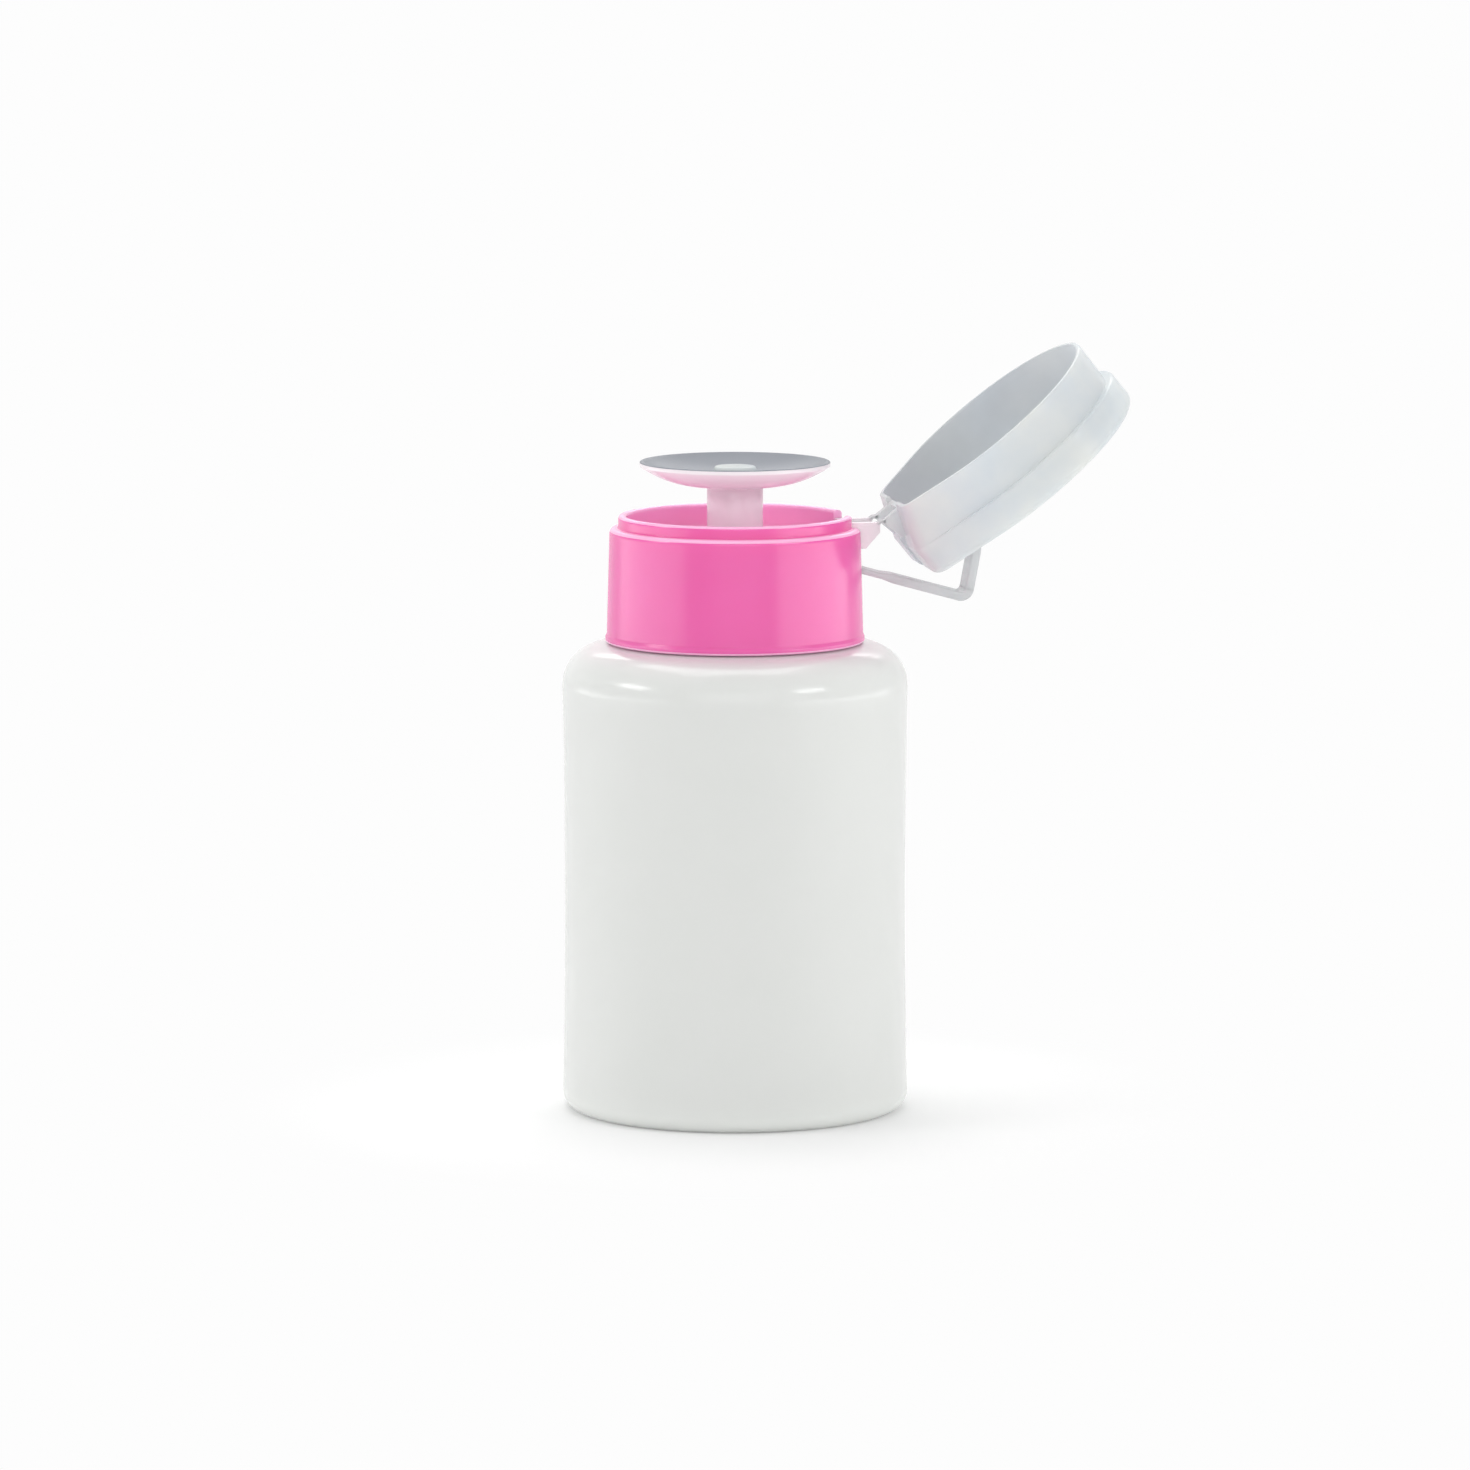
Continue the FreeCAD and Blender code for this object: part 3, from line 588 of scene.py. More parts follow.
def turned(outline: Sequence[Point], angles: Sequence[float],
           sink: Callable[[float, float, float], float] | None = None) -> Shape:
    """Turn a closed outline of radii and heights about the bottle's axis.

    Args:
        outline: Radius and height of each point.
        angles: Where it is drawn.
        sink: How far the surface lies inside the outline, by angle, radius and height.

    Returns:
        Points and faces.
    """
    loops = []
    for angle in angles:
        way = Vector((math.cos(angle), math.sin(angle), 0))
        loops.append([way * (r - (sink(angle, r, z) if sink else 0)) + Vector((0, 0, z))
                      for r, z in outline])
    return rings(loops, closed=True)


def prism(outline: Sequence[Point], y0: float, y1: float) -> Shape:
    """Outline of the XZ plane with a thickness from y0 to y1."""
    return rings([[Vector((x, y, z)) for x, z in outline] for y in (y0, y1)])


def box(x: Point, y: Point, z: Point) -> Shape:
    """Block between pairs of limits."""
    return prism([(x[0], z[0]), (x[1], z[0]), (x[1], z[1]), (x[0], z[1])], *y)


def both(half: float) -> Point:
    """Limits at the same distance on either side of the middle."""
    return -half, half


@dataclass(frozen=True)
class Thread:
    """Screw thread of the neck, which also gives the collar's.

    Attributes:
        pitch: Rise in one turn.
        height: Height of the ridge.
        width: Width at the root.
        crest: Width at the crest, as a share of that.
        turns: Number of turns.
        low: Height of its start on the neck.
        sink: How far its root lies inside the wall.
        growth: How many times faster than its length it grows at both ends.
        stub: Share of its height at the very ends.
        steps: Sections in one turn.
    """

    pitch: float = 4.2
    height: float = 0.95
    width: float = 1.8
    crest: float = 0.35
    turns: float = 1.6
    low: float = 86.0
    sink: float = 0.2
    growth: float = 10.0
    stub: float = 0.05
    steps: int = 75

    def ridge(self, radius: float, side: int, low: float) -> Shape:
        """Ridge on a round wall, fading out at both ends.

        Args:
            radius: Wall radius.
            side: One where it stands outwards, minus one where it stands inwards.
            low: Height of its start.

        Returns:
            Points and faces.
        """
        steps = round(self.steps * self.turns)
        root = radius - side * self.sink
        half = self.width / 2
        loops = []
        for i in range(steps + 1):
            share = i / steps
            turn = TURN * self.turns * share
            grown = max(self.stub, min(1.0, self.growth * share, self.growth * (1 - share)))
            crest = root + grown * side * (self.height + self.sink)
            section = [(root, -half), (crest, -half * self.crest), (crest, half * self.crest), (root, half)]
            rise = low + self.pitch * self.turns * share
            loops.append([Vector((r * math.cos(turn), r * math.sin(turn), rise + dz)) for r, dz in section])
        return rings(loops)


def ribbon(path: Sequence[Point], thick: Sequence[float], span: Point, edge: float,
           fullest: float = 0.8) -> Shape:
    """Strip with round edges along a path of the XZ plane.

    Args:
        path: Middle line.
        thick: Thickness at each point of the path.
        span: Its two sides' places along Y.
        edge: Rounding of its edges.
        fullest: Largest rounding, as a share of half the thickness.

    Returns:
        Points and faces.
    """
    loops = []
    for i, spot in enumerate(path):
        way = (Vector(path[min(i + 1, len(path) - 1)]) - Vector(path[max(i - 1, 0)])).normalized()
        half = thick[i] / 2
        r = min(edge, half * fullest)
        section = rounded([(span[0], -half, r), (span[1], -half, r), (span[1], half, r),
                           (span[0], half, r)], 3)
        loops.append([Vector((spot[0] - way.y * v, u, spot[1] + way.x * v)) for u, v in section])
    return rings(loops)


def tube_along(path: Sequence[Vector], radius: float, sides: int) -> Shape:
    """Round tube along a path.

    Args:
        path: Centre line.
        radius: Tube radius.
        sides: Points round the tube.

    Returns:
        Points and faces.
    """
    loops = []
    for i, spot in enumerate(path):
        way = (path[min(i + 1, len(path) - 1)] - path[max(i - 1, 0)]).normalized()
        side = way.cross(Vector((0, 0, 1))).normalized()
        up = side.cross(way)
        loops.append([spot + side * (radius * math.cos(angle)) + up * (radius * math.sin(angle))
                      for angle in even_angles(sides)])
    return rings(loops)


@dataclass
class Bottle:
    """Blown bottle with its neck thread, the mould's parting lines and the pinch line under the base."""

    body_r: float = 30.0
    wall: float = 1.1
    waist: float = 0.35
    foot_round: float = 3.2
    foot_land: float = 3.0
    base_rise: float = 2.0
    base_wall: float = 1.6
    side_top: float = 73.9
    shoulder_round: float = 7.3
    shoulder_deg: float = 79.0
    neck_r: float = 15.2
    neck_wall: float = 1.6
    neck_root: float = 82.79
    neck_in_drop: float = 0.81
    neck_rim: float = 95.39
    rim_round: float = 0.4
    rim_in_round: float = 0.3
    rim_support: float = 0.1
    around: int = 160
    base_steps: int = 12
    foot_steps: int = 8
    side_steps: int = 24
    shoulder_steps: int = 14
    pinch_steps: int = 40
    parting_height: float = 0.06
    parting_half: float = 0.22
    parting_clear: float = 2.2
    wander: float = 0.1
    wander_size: float = 26.0
    wander_fade: float = 8.0
    still_share: float = 0.7
    still_slope: float = 5.0
    pinch_half: float = 15.0
    pinch_height: float = 0.5
    pinch_width: float = 0.9
    pinch_sink: float = 0.15
    pinch_stub: float = 0.1
    pinch_growth: float = 8.0
    thread: Thread = Thread()

    def build(self) -> None:
        """Blow the bottle and add its thread and pinch line."""
        shell = turned(self.outline(), self.angles(), self.sink)
        ridge = self.thread.ridge(self.neck_r, 1, self.thread.low)
        for name, shape, node in (("blown_bottle", shell, "bottle"), ("neck_thread", ridge, ""),
                                  ("base_pinch_line", self.pinch_line(), "")):
            mounted(piece(name, shape, HDPE_WHITE), Body.BOTTLE, node)

    def foot_in_r(self) -> float:
        """Radius of the hollow under the base."""
        return self.body_r - self.foot_round - self.foot_land

    def dome(self, r: float) -> float:
        """Height of the hollow under the base at a radius.

        Args:
            r: Radius.

        Returns:
            Height in millimetres.
        """
        rim = self.foot_in_r()
        big_r = (rim**2 + self.base_rise**2) / (2 * self.base_rise)
        return self.base_rise - big_r + math.sqrt(big_r**2 - r**2)

    def side(self, r: float, low: float) -> list[Point]:
        """Drawn-in side from a low point up to the shoulder.

        Args:
            r: Radius at its two ends.
            low: Height of the low point.

        Returns:
            Radii and heights.
        """
        steps = self.side_steps
        rows = [low + (self.side_top - low) * k / steps for k in range(steps + 1)]
        return [(r - self.waist * math.sin(math.pi * k / steps), z) for k, z in enumerate(rows)]

    def outline(self) -> list[Point]:
        """Outer and inner wall from the middle of the base up and back.

        Returns:
            Radii and heights.
        """
        hollow = [self.foot_in_r() * k / self.base_steps for k in range(self.base_steps + 1)]
        foot = (self.body_r - self.foot_round, self.foot_round)
        shoulder = (self.body_r - self.shoulder_round, self.side_top)
        turns = [math.radians(self.shoulder_deg) * k / self.shoulder_steps
                 for k in range(self.shoulder_steps + 1)]
        down = [math.radians(90) * k / self.foot_steps for k in range(self.foot_steps + 1)]
        in_r = self.body_r - self.wall
        in_foot = (in_r - self.foot_round, self.base_wall + self.foot_round)
        bore_r = self.neck_r - self.neck_wall
        neck = rounded([(self.neck_r, self.neck_root, 0), (self.neck_r, self.neck_rim, self.rim_round),
                        (bore_r, self.neck_rim, self.rim_in_round),
                        (bore_r, self.neck_root - self.neck_in_drop, 0)], support=self.rim_support)
        outer = [(r, self.dome(r)) for r in hollow]
        outer += [arc_point(foot, self.foot_round, angle - math.pi / 2) for angle in down]
        outer += self.side(self.body_r, self.foot_round)[1:]
        outer += [arc_point(shoulder, self.shoulder_round, angle) for angle in turns[1:]]
        inner = [arc_point(shoulder, self.shoulder_round - self.wall, angle) for angle in reversed(turns)]
        inner += list(reversed(self.side(in_r, in_foot[1])))[1:]
        inner += [arc_point(in_foot, self.foot_round, angle - math.pi / 2) for angle in reversed(down[:-1])]
        inner += [(r, self.dome(r) + self.base_wall) for r in reversed(hollow)]
        return outer + neck + inner

    def angles(self) -> list[float]:
        """Angles round the bottle, closer together at the two parting lines.

        Returns:
            Angles in rising order.
        """
        half = (0, 0.3, 0.6, 1, 1.4, 2)
        fine = [self.parting_half / self.body_r * k for k in (*(-k for k in half[:0:-1]), *half)]
        spread = [angle for angle in even_angles(self.around)
                  if abs(math.sin(angle)) > self.parting_clear * fine[-1]]
        return sorted(spread + [(side + angle) % TURN for side in (0, math.pi) for angle in fine])

    def sink(self, angle: float, r: float, z: float) -> float:
        """How far the wall lies below its outline: the blown wall wanders, and the parting lines stand up.

        Args:
            angle: Angle round the bottle.
            r: Radius of the outline.
            z: Height.

        Returns:
            Depth in millimetres.
        """
        fade = self.wander_fade
        side = min(1.0, max(0.0, (z - self.foot_round) / fade),
                   max(0.0, (self.side_top + fade / 2 - z) / fade))
        side *= min(1.0, max(0.0, r / self.body_r - self.still_share) * self.still_slope)
        spot = Vector((self.body_r * math.cos(angle), self.body_r * math.sin(angle), z)) / self.wander_size
        off = self.body_r * math.sin(angle) / self.parting_half
        ridge = self.parting_height * math.exp(-off * off)
        return side * (self.parting_height - ridge + self.wander * (0.5 + 0.5 * noise.noise(spot)))

    def pinch_line(self) -> Shape:
        """Ridge under the base where the mould nipped the tube of melt, fading out at both ends.

        Returns:
            Points and faces.
        """
        loops = []
        half = self.pinch_width / 2
        for i in range(self.pinch_steps + 1):
            share = i / self.pinch_steps
            x = self.pinch_half * (2 * share - 1)
            grown = min(1.0, self.pinch_stub + self.pinch_growth * (0.5 - abs(share - 0.5)))
            low = self.dome(abs(x)) - self.pinch_height * grown
            top = self.dome(abs(x)) + self.pinch_sink
            loops.append([Vector((x, y, z))
                          for y, z in ((-half, top), (-half / 2, low), (half / 2, low), (half, top))])
        return rings(loops)


@dataclass
class Closure:
    """Pink screw collar with the hinge base snapped into it."""

    skirt_in_r: float = 16.5
    skirt_out_r: float = 17.7
    skirt_foot: float = 83.99
    foot_in_r: float = 20.8
    foot_r: float = 22.2
    foot_z: float = 82.006
    foot_drop: float = 0.3
    edge_reach: float = 0.45
    rim_reach: float = 0.6
    rim_over: float = 0.05
    foot_reach: float = 0.1
    deck_skip: float = 0.5
    flare: float = 0.25
    flare_height: float = 1.1
    inner_top_r: float = 20.38
    top_r: float = 21.7
    top_z: float = 101.394
    edge_round: float = 0.9
    soft: float = 0.3
    fillet: float = 0.4
    foot_in_round: float = 0.25
    lip_share: float = 0.44
    support: float = 0.06
    ring_r: float = 20.2
    ring_in_r: float = 18.8
    ring_top: float = 103.594
    deck_top: float = 99.594
    deck_under: float = 98.194
    hole_r: float = 5.3
    around: int = 144
    rib_count: int = 9
    rib_low: float = 88.19
    rib_thick: float = 1.0
    rib_weld: float = 0.6
    guide_y: float = 4.9
    notch_x: float = 18.15
    notch_half: float = 4.65
    notch_low: float = 97.594
    slot_x: float = 19.8
    slot_half: float = 2.9
    slot_low: float = 92.394
    thread_drop: float = 2.1
    thread: Thread = Thread()

    def build(self) -> None:
        """Mould the collar and its thread, and dress the hinge base."""
        collar = solid("screw_collar", turned(self.outline(), even_angles(self.around)))
        outside = 2 * self.foot_r
        notch = solid("notch", box((self.notch_x, outside), both(self.notch_half),
                                   (self.notch_low, outside * 3)))
        slot = solid("slot", box((self.slot_x, outside), both(self.slot_half),
                                 (self.slot_low, self.notch_low + self.rib_thick)))
        carved(collar, [(self.ribs(), Cut.WELDED), (notch, Cut.AWAY), (slot, Cut.AWAY)])
        # Faces inside the ring and on the thin edges get a paler pink: painted light and painted highlights
        finished(collar, PP_PINK, [(PP_PINK_PAINTED_LIGHT, self.painted_light_side)])
        mounted(collar, Body.CLOSURE, "collar")
        low = self.thread.low - self.thread_drop + self.thread.pitch
        ridge = self.thread.ridge(self.skirt_in_r, -1, low)
        mounted(piece("collar_thread", ridge, PP_PINK), Body.CLOSURE)
        softened("hinge_base", "hinge_foot", Body.CLOSURE)

    def outline(self) -> list[Point]:
        """Section of the collar: inner skirt, outer wall, shoulder, ring and deck.

        Returns:
            Radii and heights.
        """
        lip = self.lip_share * (self.ring_r - self.ring_in_r)
        foot = self.foot_z - self.foot_drop
        flare_r = self.foot_r + self.flare
        soft, fillet = self.soft, self.fillet
        return rounded([
            (self.skirt_in_r, self.skirt_foot, soft), (self.skirt_out_r, self.skirt_foot, soft),
            (self.skirt_out_r, self.deck_under, fillet), (self.inner_top_r, self.deck_under, fillet),
            (self.foot_in_r, foot, self.foot_in_round), (flare_r, foot, soft),
            (flare_r, self.foot_z + self.flare_height / 2, soft / 2),
            (self.foot_r, self.foot_z + self.flare_height, soft), (self.top_r, self.top_z, self.edge_round),
            (self.ring_r, self.top_z, soft), (self.ring_r, self.ring_top, lip),
            (self.ring_in_r, self.ring_top, lip), (self.ring_in_r, self.deck_top, fillet),
            (self.hole_r, self.deck_top, soft), (self.hole_r, self.deck_under, fillet / 2),
            (self.skirt_in_r, self.deck_under, soft)], support=self.support)

    def painted_light_side(self, spot: Vector, normal: Vector) -> bool:
        """Tell the faces inside the raised ring and of the collar's thin edges: lip, shoulder and foot, which
        get the paler pink of painted light.

        Args:
            spot: Middle of the face.
            normal: Its direction, which makes no difference here.

        Returns:
            Whether the face is painted paler: painted light inside the ring, painted highlights on the edges.
        """
        if Vector(spot.xy).length < (self.ring_r + self.ring_in_r) / 2:
            return spot.z > self.deck_under + self.deck_skip
        lip = spot.z > self.ring_top - self.edge_reach
        shoulder = self.top_z - self.rim_reach < spot.z < self.top_z + self.rim_over
        return lip or shoulder or spot.z < self.foot_z + self.foot_reach

    def ribs(self) -> bpy.types.Object:
        """Radial ribs between the two skirts, and the two guides beside the hinge base.

        Returns:
            One object with all of them.
        """
        x = (self.skirt_out_r - self.rib_weld, self.inner_top_r + self.rib_weld)
        z = (self.rib_low, self.deck_under + self.rib_weld)
        half = self.rib_thick / 2
        verts: list[Vector] = []
        faces: list[list[int]] = []
        spots = [(360 / self.rib_count * i, 0.0) for i in range(1, self.rib_count)]
        spots += [(0.0, side * (self.guide_y + half)) for side in (-1, 1)]
        for degrees, y in spots:
            turn = Matrix.Rotation(math.radians(degrees), 3, "Z")
            points, walls = box(x, (y - half, y + half), z)
            faces += [[len(verts) + k for k in wall] for wall in walls]
            verts += [turn @ point for point in points]
        return solid("ribs", (verts, faces))


@dataclass
class Pump:
    """Pump in the neck with its spring, stem, dish and outlet."""

    spring_r: float = 5.3
    wire_r: float = 0.45
    spring_foot: float = 67.4
    spring_top: float = 88.0
    open_turns: int = 6
    end_pitch: float = 1.4
    stroke: float = 8.0
    around: int = 144
    dish_hole_r: float = 3.23
    dish_flat_r: float = 5.75
    dish_r: float = 16.5
    dish_rim: float = 112.894
    dish_rim_height: float = 0.8
    dish_rim_width: float = 0.6
    dish_rim_round: float = 0.3
    dish_under_round: float = 0.12
    crisp: float = 0.1
    dish_floor: float = 109.894
    dish_under: float = 108.694
    outlet_bore_r: float = 1.0
    outlet_plug_r: float = 1.97
    outlet_r: float = 3.65
    outlet_top: float = 112.094
    outlet_roof: float = 111.394
    outlet_holes: int = 4
    outlet_hole_r: float = 0.5
    outlet_round: float = 0.5
    outlet_support: float = 0.05
    outlet_around: int = 72
    drill_sides: int = 20
    bowl_steps: int = 14
    wire_steps: int = 36
    wire_sides: int = 12
    dish_top_slope: float = 0.3

    def build(self) -> None:
        """Dress the pump, turn its dish and nozzle and wind its spring."""
        for node, finish in CAD_SHAPES.items():
            dress(node, finish)
        softened("pump_stem", "stem", Body.HEAD)
        self.dish()
        self.outlet()
        self.spring()

    def dish(self) -> None:
        """Turn the shallow saucer that the cotton pad is pressed on."""
        flat, rim, steps = self.dish_flat_r, self.dish_rim, self.bowl_steps
        under = bowl((flat, self.dish_under), (self.dish_r, rim - self.dish_rim_height), steps)
        floor = bowl((flat, self.dish_floor), (self.dish_r - self.dish_rim_width, rim), steps)
        corners = [(self.dish_hole_r, self.dish_under, self.crisp)] + [(r, z, 0) for r, z in under[:-1]]
        corners += [(*under[-1], self.dish_under_round), (self.dish_r, rim, self.dish_rim_round),
                    (*floor[-1], self.crisp)]
        corners += [(r, z, 0) for r, z in reversed(floor[:-1])]
        corners.append((self.dish_hole_r, self.dish_floor, self.crisp))
        saucer = solid("push_dish", turned(rounded(corners), even_angles(self.around)))
        # Faces that look up get the grey of painted shade; the rest keep the milky finish with its painted
        # pink bounce
        finished(saucer, PP_MILKY_PINK_BOUNCE, [(PP_DISH_TOP_PAINTED_SHADE, lambda spot, normal: normal.z > self.dish_top_slope)])
        mounted(saucer, Body.HEAD, "dish")

    def outlet(self) -> None:
        """Turn the nozzle in the middle of the dish and drill its side holes."""
        outline = rounded([
            (self.outlet_bore_r, self.dish_under, 0), (self.outlet_plug_r, self.dish_under, self.crisp),
            (self.outlet_plug_r, self.dish_floor, 0), (self.outlet_r, self.dish_floor, self.crisp),
            (self.outlet_r, self.outlet_top, self.outlet_round), (0, self.outlet_top, 0),
            (0, self.outlet_roof, 0), (self.outlet_bore_r, self.outlet_roof, 0)], support=self.outlet_support)
        nozzle = solid("outlet_nozzle", turned(outline, even_angles(self.outlet_around)))
        drills = []
        height = Vector((0, 0, (self.dish_floor + self.outlet_roof) / 2))
        for i in range(self.outlet_holes):
            angle = TURN * (i + 0.5) / self.outlet_holes
            way = Vector((math.cos(angle), math.sin(angle), 0))
            path = [height + way * reach for reach in (self.outlet_bore_r / 2, 2 * self.outlet_r)]
            drill = solid("drill", tube_along(path, self.outlet_hole_r, self.drill_sides))
            drills.append((drill, Cut.AWAY))
        carved(nozzle, drills)
        mounted(finished(nozzle, PP_NATURAL), Body.HEAD, "outlet_cap")

    def spring(self) -> None:
        """Wind the return spring, drawn at one length; the real one shortens as the dish goes down."""
        turns = self.open_turns + 2
        length = self.spring_top - self.spring_foot - 2 * self.wire_r
        pitch = (length - 2 * self.end_pitch) / self.open_turns
        path = []
        steps = turns * self.wire_steps
        for i in range(steps + 1):
            turn = turns * i / steps
            ends = min(turn, 1) + max(turn - turns + 1, 0)
            z = self.spring_foot + self.wire_r + self.end_pitch * ends + pitch * (turn - ends)
            path.append(Vector((*arc_point((0, 0), self.spring_r, TURN * turn), z)))
        wire = piece("pump_spring", tube_along(path, self.wire_r, self.wire_sides), STEEL_WIRE)
        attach(wire, Body.PUMP.value)
        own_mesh(wire)
        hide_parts("return_spring")


@dataclass
class FlipLid:
    """Flip lid with its film hinges and the snap strap.

    The lid is drawn shut and then swung open about its film line, which is how it rests. Some fields hold
    rows of points: mouth_edge and inner_edge their inset and rise, band_step their share of the way out to
    the band and their rise, gate_mark their shares of the gate's radius and depth, and the others their share
    of a height or radius.
    """

    hinge: Point = (24.9, 102.394)
    open_deg: float = 140.5
    mouth_z: float = 101.544
    top_z: float = 114.944
    radius: float = 21.4
    wall: float = 0.9
    top_thick: float = 1.2
    skirt_height: float = 7.5
    taper: float = 0.2
    band: float = 1.0
    lip: float = 0.5
    back_x: float = 21.2
    back_lean: float = 2.7
    back_half: float = 13.2
    corner_r: float = 4.2
    top_round: float = 1.3
    top_support: float = 0.1
    inner_round: float = 1.6
    gate_r: float = 1.3
    gate_depth: float = 0.25
    roof_slope: float = 0.5
    inside_shade_slope: float = 0.3
    neck_height: float = 4.5
    neck_rise: float = 1.2
    lug: Point = (2.9, 4.5)
    film_r: float = 0.4
    seat_gap: float = 0.15
    notch_half: float = Closure.notch_half
    slot_half: float = Closure.slot_half
    root: Point = (20.8, 93.994)
    knee: Point = (40.6, 88.494)
    tip: Point = (42.769, 100.212)
    tip_shut: Point = (12.5, 115.444)
    knee_shut: Point = (24.355, 114.234)
    strap_half: float = 2.75
    strap_thick: float = 1.6
    strap_thin: float = 1.1
    strap_edge: float = 0.35
    root_run: float = 5.0
    tip_run: float = 1.6
    taper_run: float = 2.0
    elbow_r: float = 1.5
    elbow_steps: int = 10
    elbow_back: float = 0.4
    elbow_lap: float = 0.1
    relief_gap: float = 0.3
    film_thick: float = 0.55
    film_reach: float = 0.8
    film_edge: float = 0.15
    film_hold: float = 0.6
    lug_way: Point = (-0.8, -0.6)
    film_steps: int = 5
    plan_steps: int = 8
    round_steps: int = 96
    arc_steps: int = 6
    mouth_edge: tuple[Point, ...] = ((0.65, 0), (0.45, 0), (0.25, 0), (0.07, 0.07), (0, 0.25), (0, 0.35))
    band_step: tuple[Point, ...] = ((0, 0), (0.4, 0), (0.7, 0), (0.91, 0.09), (1, 0.3), (1, 0.4))
    inner_edge: tuple[Point, ...] = ((0, 0.25), (-0.07, 0.07))
    skirt_rows: tuple[float, ...] = (0.35, 0.7, 0.96)
    inner_rows: tuple[float, ...] = (0.6, 0.3, 0.04)
    face_rows: tuple[float, ...] = (0.97, 0.7, 0.4, 0.15)
    gate_mark: tuple[Point, ...] = ((1, 0), (0.9, 0.1), (0.7, 0.7), (0.5, 1), (0, 1))

    def build(self) -> None:
        """Mould the lid, the strap and the films between them."""
        self.shell()
        self.strap()
        self.films()

    def plan(self, radius: float, back_x: float, inset: float, shift: float = 0.0) -> list[Point]:
        """Lid plan: a circle whose sides run straight to a flat hinge wall with round corners.

        Args:
            radius: Radius of the circle.
            back_x: Place of the hinge wall.
            inset: Depth of the plan below these two.
            shift: How far the circle's centre lies away from the hinge.

        Returns:
            Points of the plan, the same number for any sizes.
        """
        steps = self.plan_steps
        centre = (-shift, 0)
        corner = self.corner_r - inset
        spot = Vector((back_x - inset - corner, self.back_half - inset - corner))
        gap = spot - Vector(centre)
        facing = math.atan2(gap.y, gap.x) + math.acos((radius - inset - corner) / gap.length)
        side = [arc_point(tuple(spot), corner, facing * k / steps) for k in range(steps + 1)]
        round_at = Vector(arc_point(centre, radius - inset, facing))
        side += [tuple(Vector(side[steps]).lerp(round_at, k / steps)) for k in range(1, steps)]
        far = [arc_point(centre, radius - inset, facing + (TURN - 2 * facing) * k / self.round_steps)
               for k in range(self.round_steps + 1)]
        back = [(back_x - inset, spot.y * (2 * k / steps - 1)) for k in range(1, steps)]
        return side + far + [(x, -y) for x, y in reversed(side)] + back

    def outside(self, share: float, inset: float) -> list[Point]:
        """Plan of the skirt's outer face, by share of its height and depth below the face."""
        return self.plan(self.radius - self.taper * share, self.back_x + self.back_lean * share, inset)

    def band_plan(self, inset: float) -> list[Point]:
        """Plan of the grip band, by depth below its face."""
        return self.plan(self.radius - self.taper + self.band + self.lip / 2, self.back_x + self.back_lean,
                         inset, self.lip / 2)

    def inside(self, share: float, inset: float) -> list[Point]:
        """Plan of the inner face, by share of the height and distance from the face."""
        return self.plan(self.radius - self.taper * share, self.back_x, self.wall + inset)

    def shell(self) -> None:
        """Mould the thin lid with its band, hinge necks and the groove for the strap."""
        step_z = self.mouth_z + self.skirt_height
        under = self.top_z - self.top_thick
        turns = [math.pi / 2 * k / self.arc_steps for k in range(self.arc_steps + 1)]
        foot, rim = self.outside(1, 0), self.band_plan(0)
        rows = [(self.outside(0, inset), self.mouth_z + rise) for inset, rise in self.mouth_edge]
        rows += [(self.outside(share, 0), self.mouth_z + self.skirt_height * share)
                 for share in self.skirt_rows]
        rows += [([tuple(Vector(p).lerp(Vector(q), share)) for p, q in zip(foot, rim)], step_z + rise)
                 for share, rise in self.band_step]
        rows.append((rim, self.top_z - self.top_round - self.top_support))
        rows += [(self.band_plan(self.top_round * (1 - math.cos(angle))),
                  self.top_z - self.top_round * (1 - math.sin(angle))) for angle in turns]
        rows += self.towards_middle(self.band_plan(self.top_round), self.top_z, -self.gate_depth)
        rows += reversed(self.towards_middle(self.inside(1, self.inner_round), under, 0.0))
        rows += [(self.inside(1, self.inner_round * (1 - math.cos(angle))),
                  under - self.inner_round * (1 - math.sin(angle))) for angle in reversed(turns)]
        rows += [(self.inside(share, 0), self.mouth_z + (under - self.mouth_z) * share)
                 for share in self.inner_rows]
        rows += [(self.inside(0, inset), self.mouth_z + rise) for inset, rise in self.inner_edge]
        loops = [[Vector((x, y, z)) for x, y in plan] for plan, z in rows]
        shell = solid("lid_shell", rings(loops, closed=True))
        carved(shell, [(neck, Cut.WELDED) for neck in self.necks()]
               + [(self.relief(), Cut.AWAY), (self.lug_room(), Cut.AWAY), (self.strap_boss(), Cut.WELDED)])
        # The lid's inside faces get darker colours: painted shade
        finished(shell, PP_NATURAL, [(PP_INSIDE_PAINTED_SHADE, self.painted_shade_inside)])
        spot = Vector((self.hinge[0], 0, self.hinge[1])) * MM
        swing = Matrix.Rotation(math.radians(self.open_deg), 4, "Y")
        shell.data.transform(Matrix.Translation(spot) @ swing @ Matrix.Translation(-spot))
        mounted(shell, Body.LID, "lid")

    def painted_shade_inside(self, spot: Vector, normal: Vector) -> bool:
        """Tell the faces of the shut lid's inside, which get the darker colours of painted shade.

        Args:
            spot: Middle of the face.
            normal: Its direction.

        Returns:
            Whether the face gets the painted shade.
        """
        outward = normal.x * spot.x + normal.y * spot.y
        roof = normal.z < -self.roof_slope and spot.z > self.top_z - 2 * self.inner_round
        return roof or outward < -self.inside_shade_slope * Vector(spot.xy).length

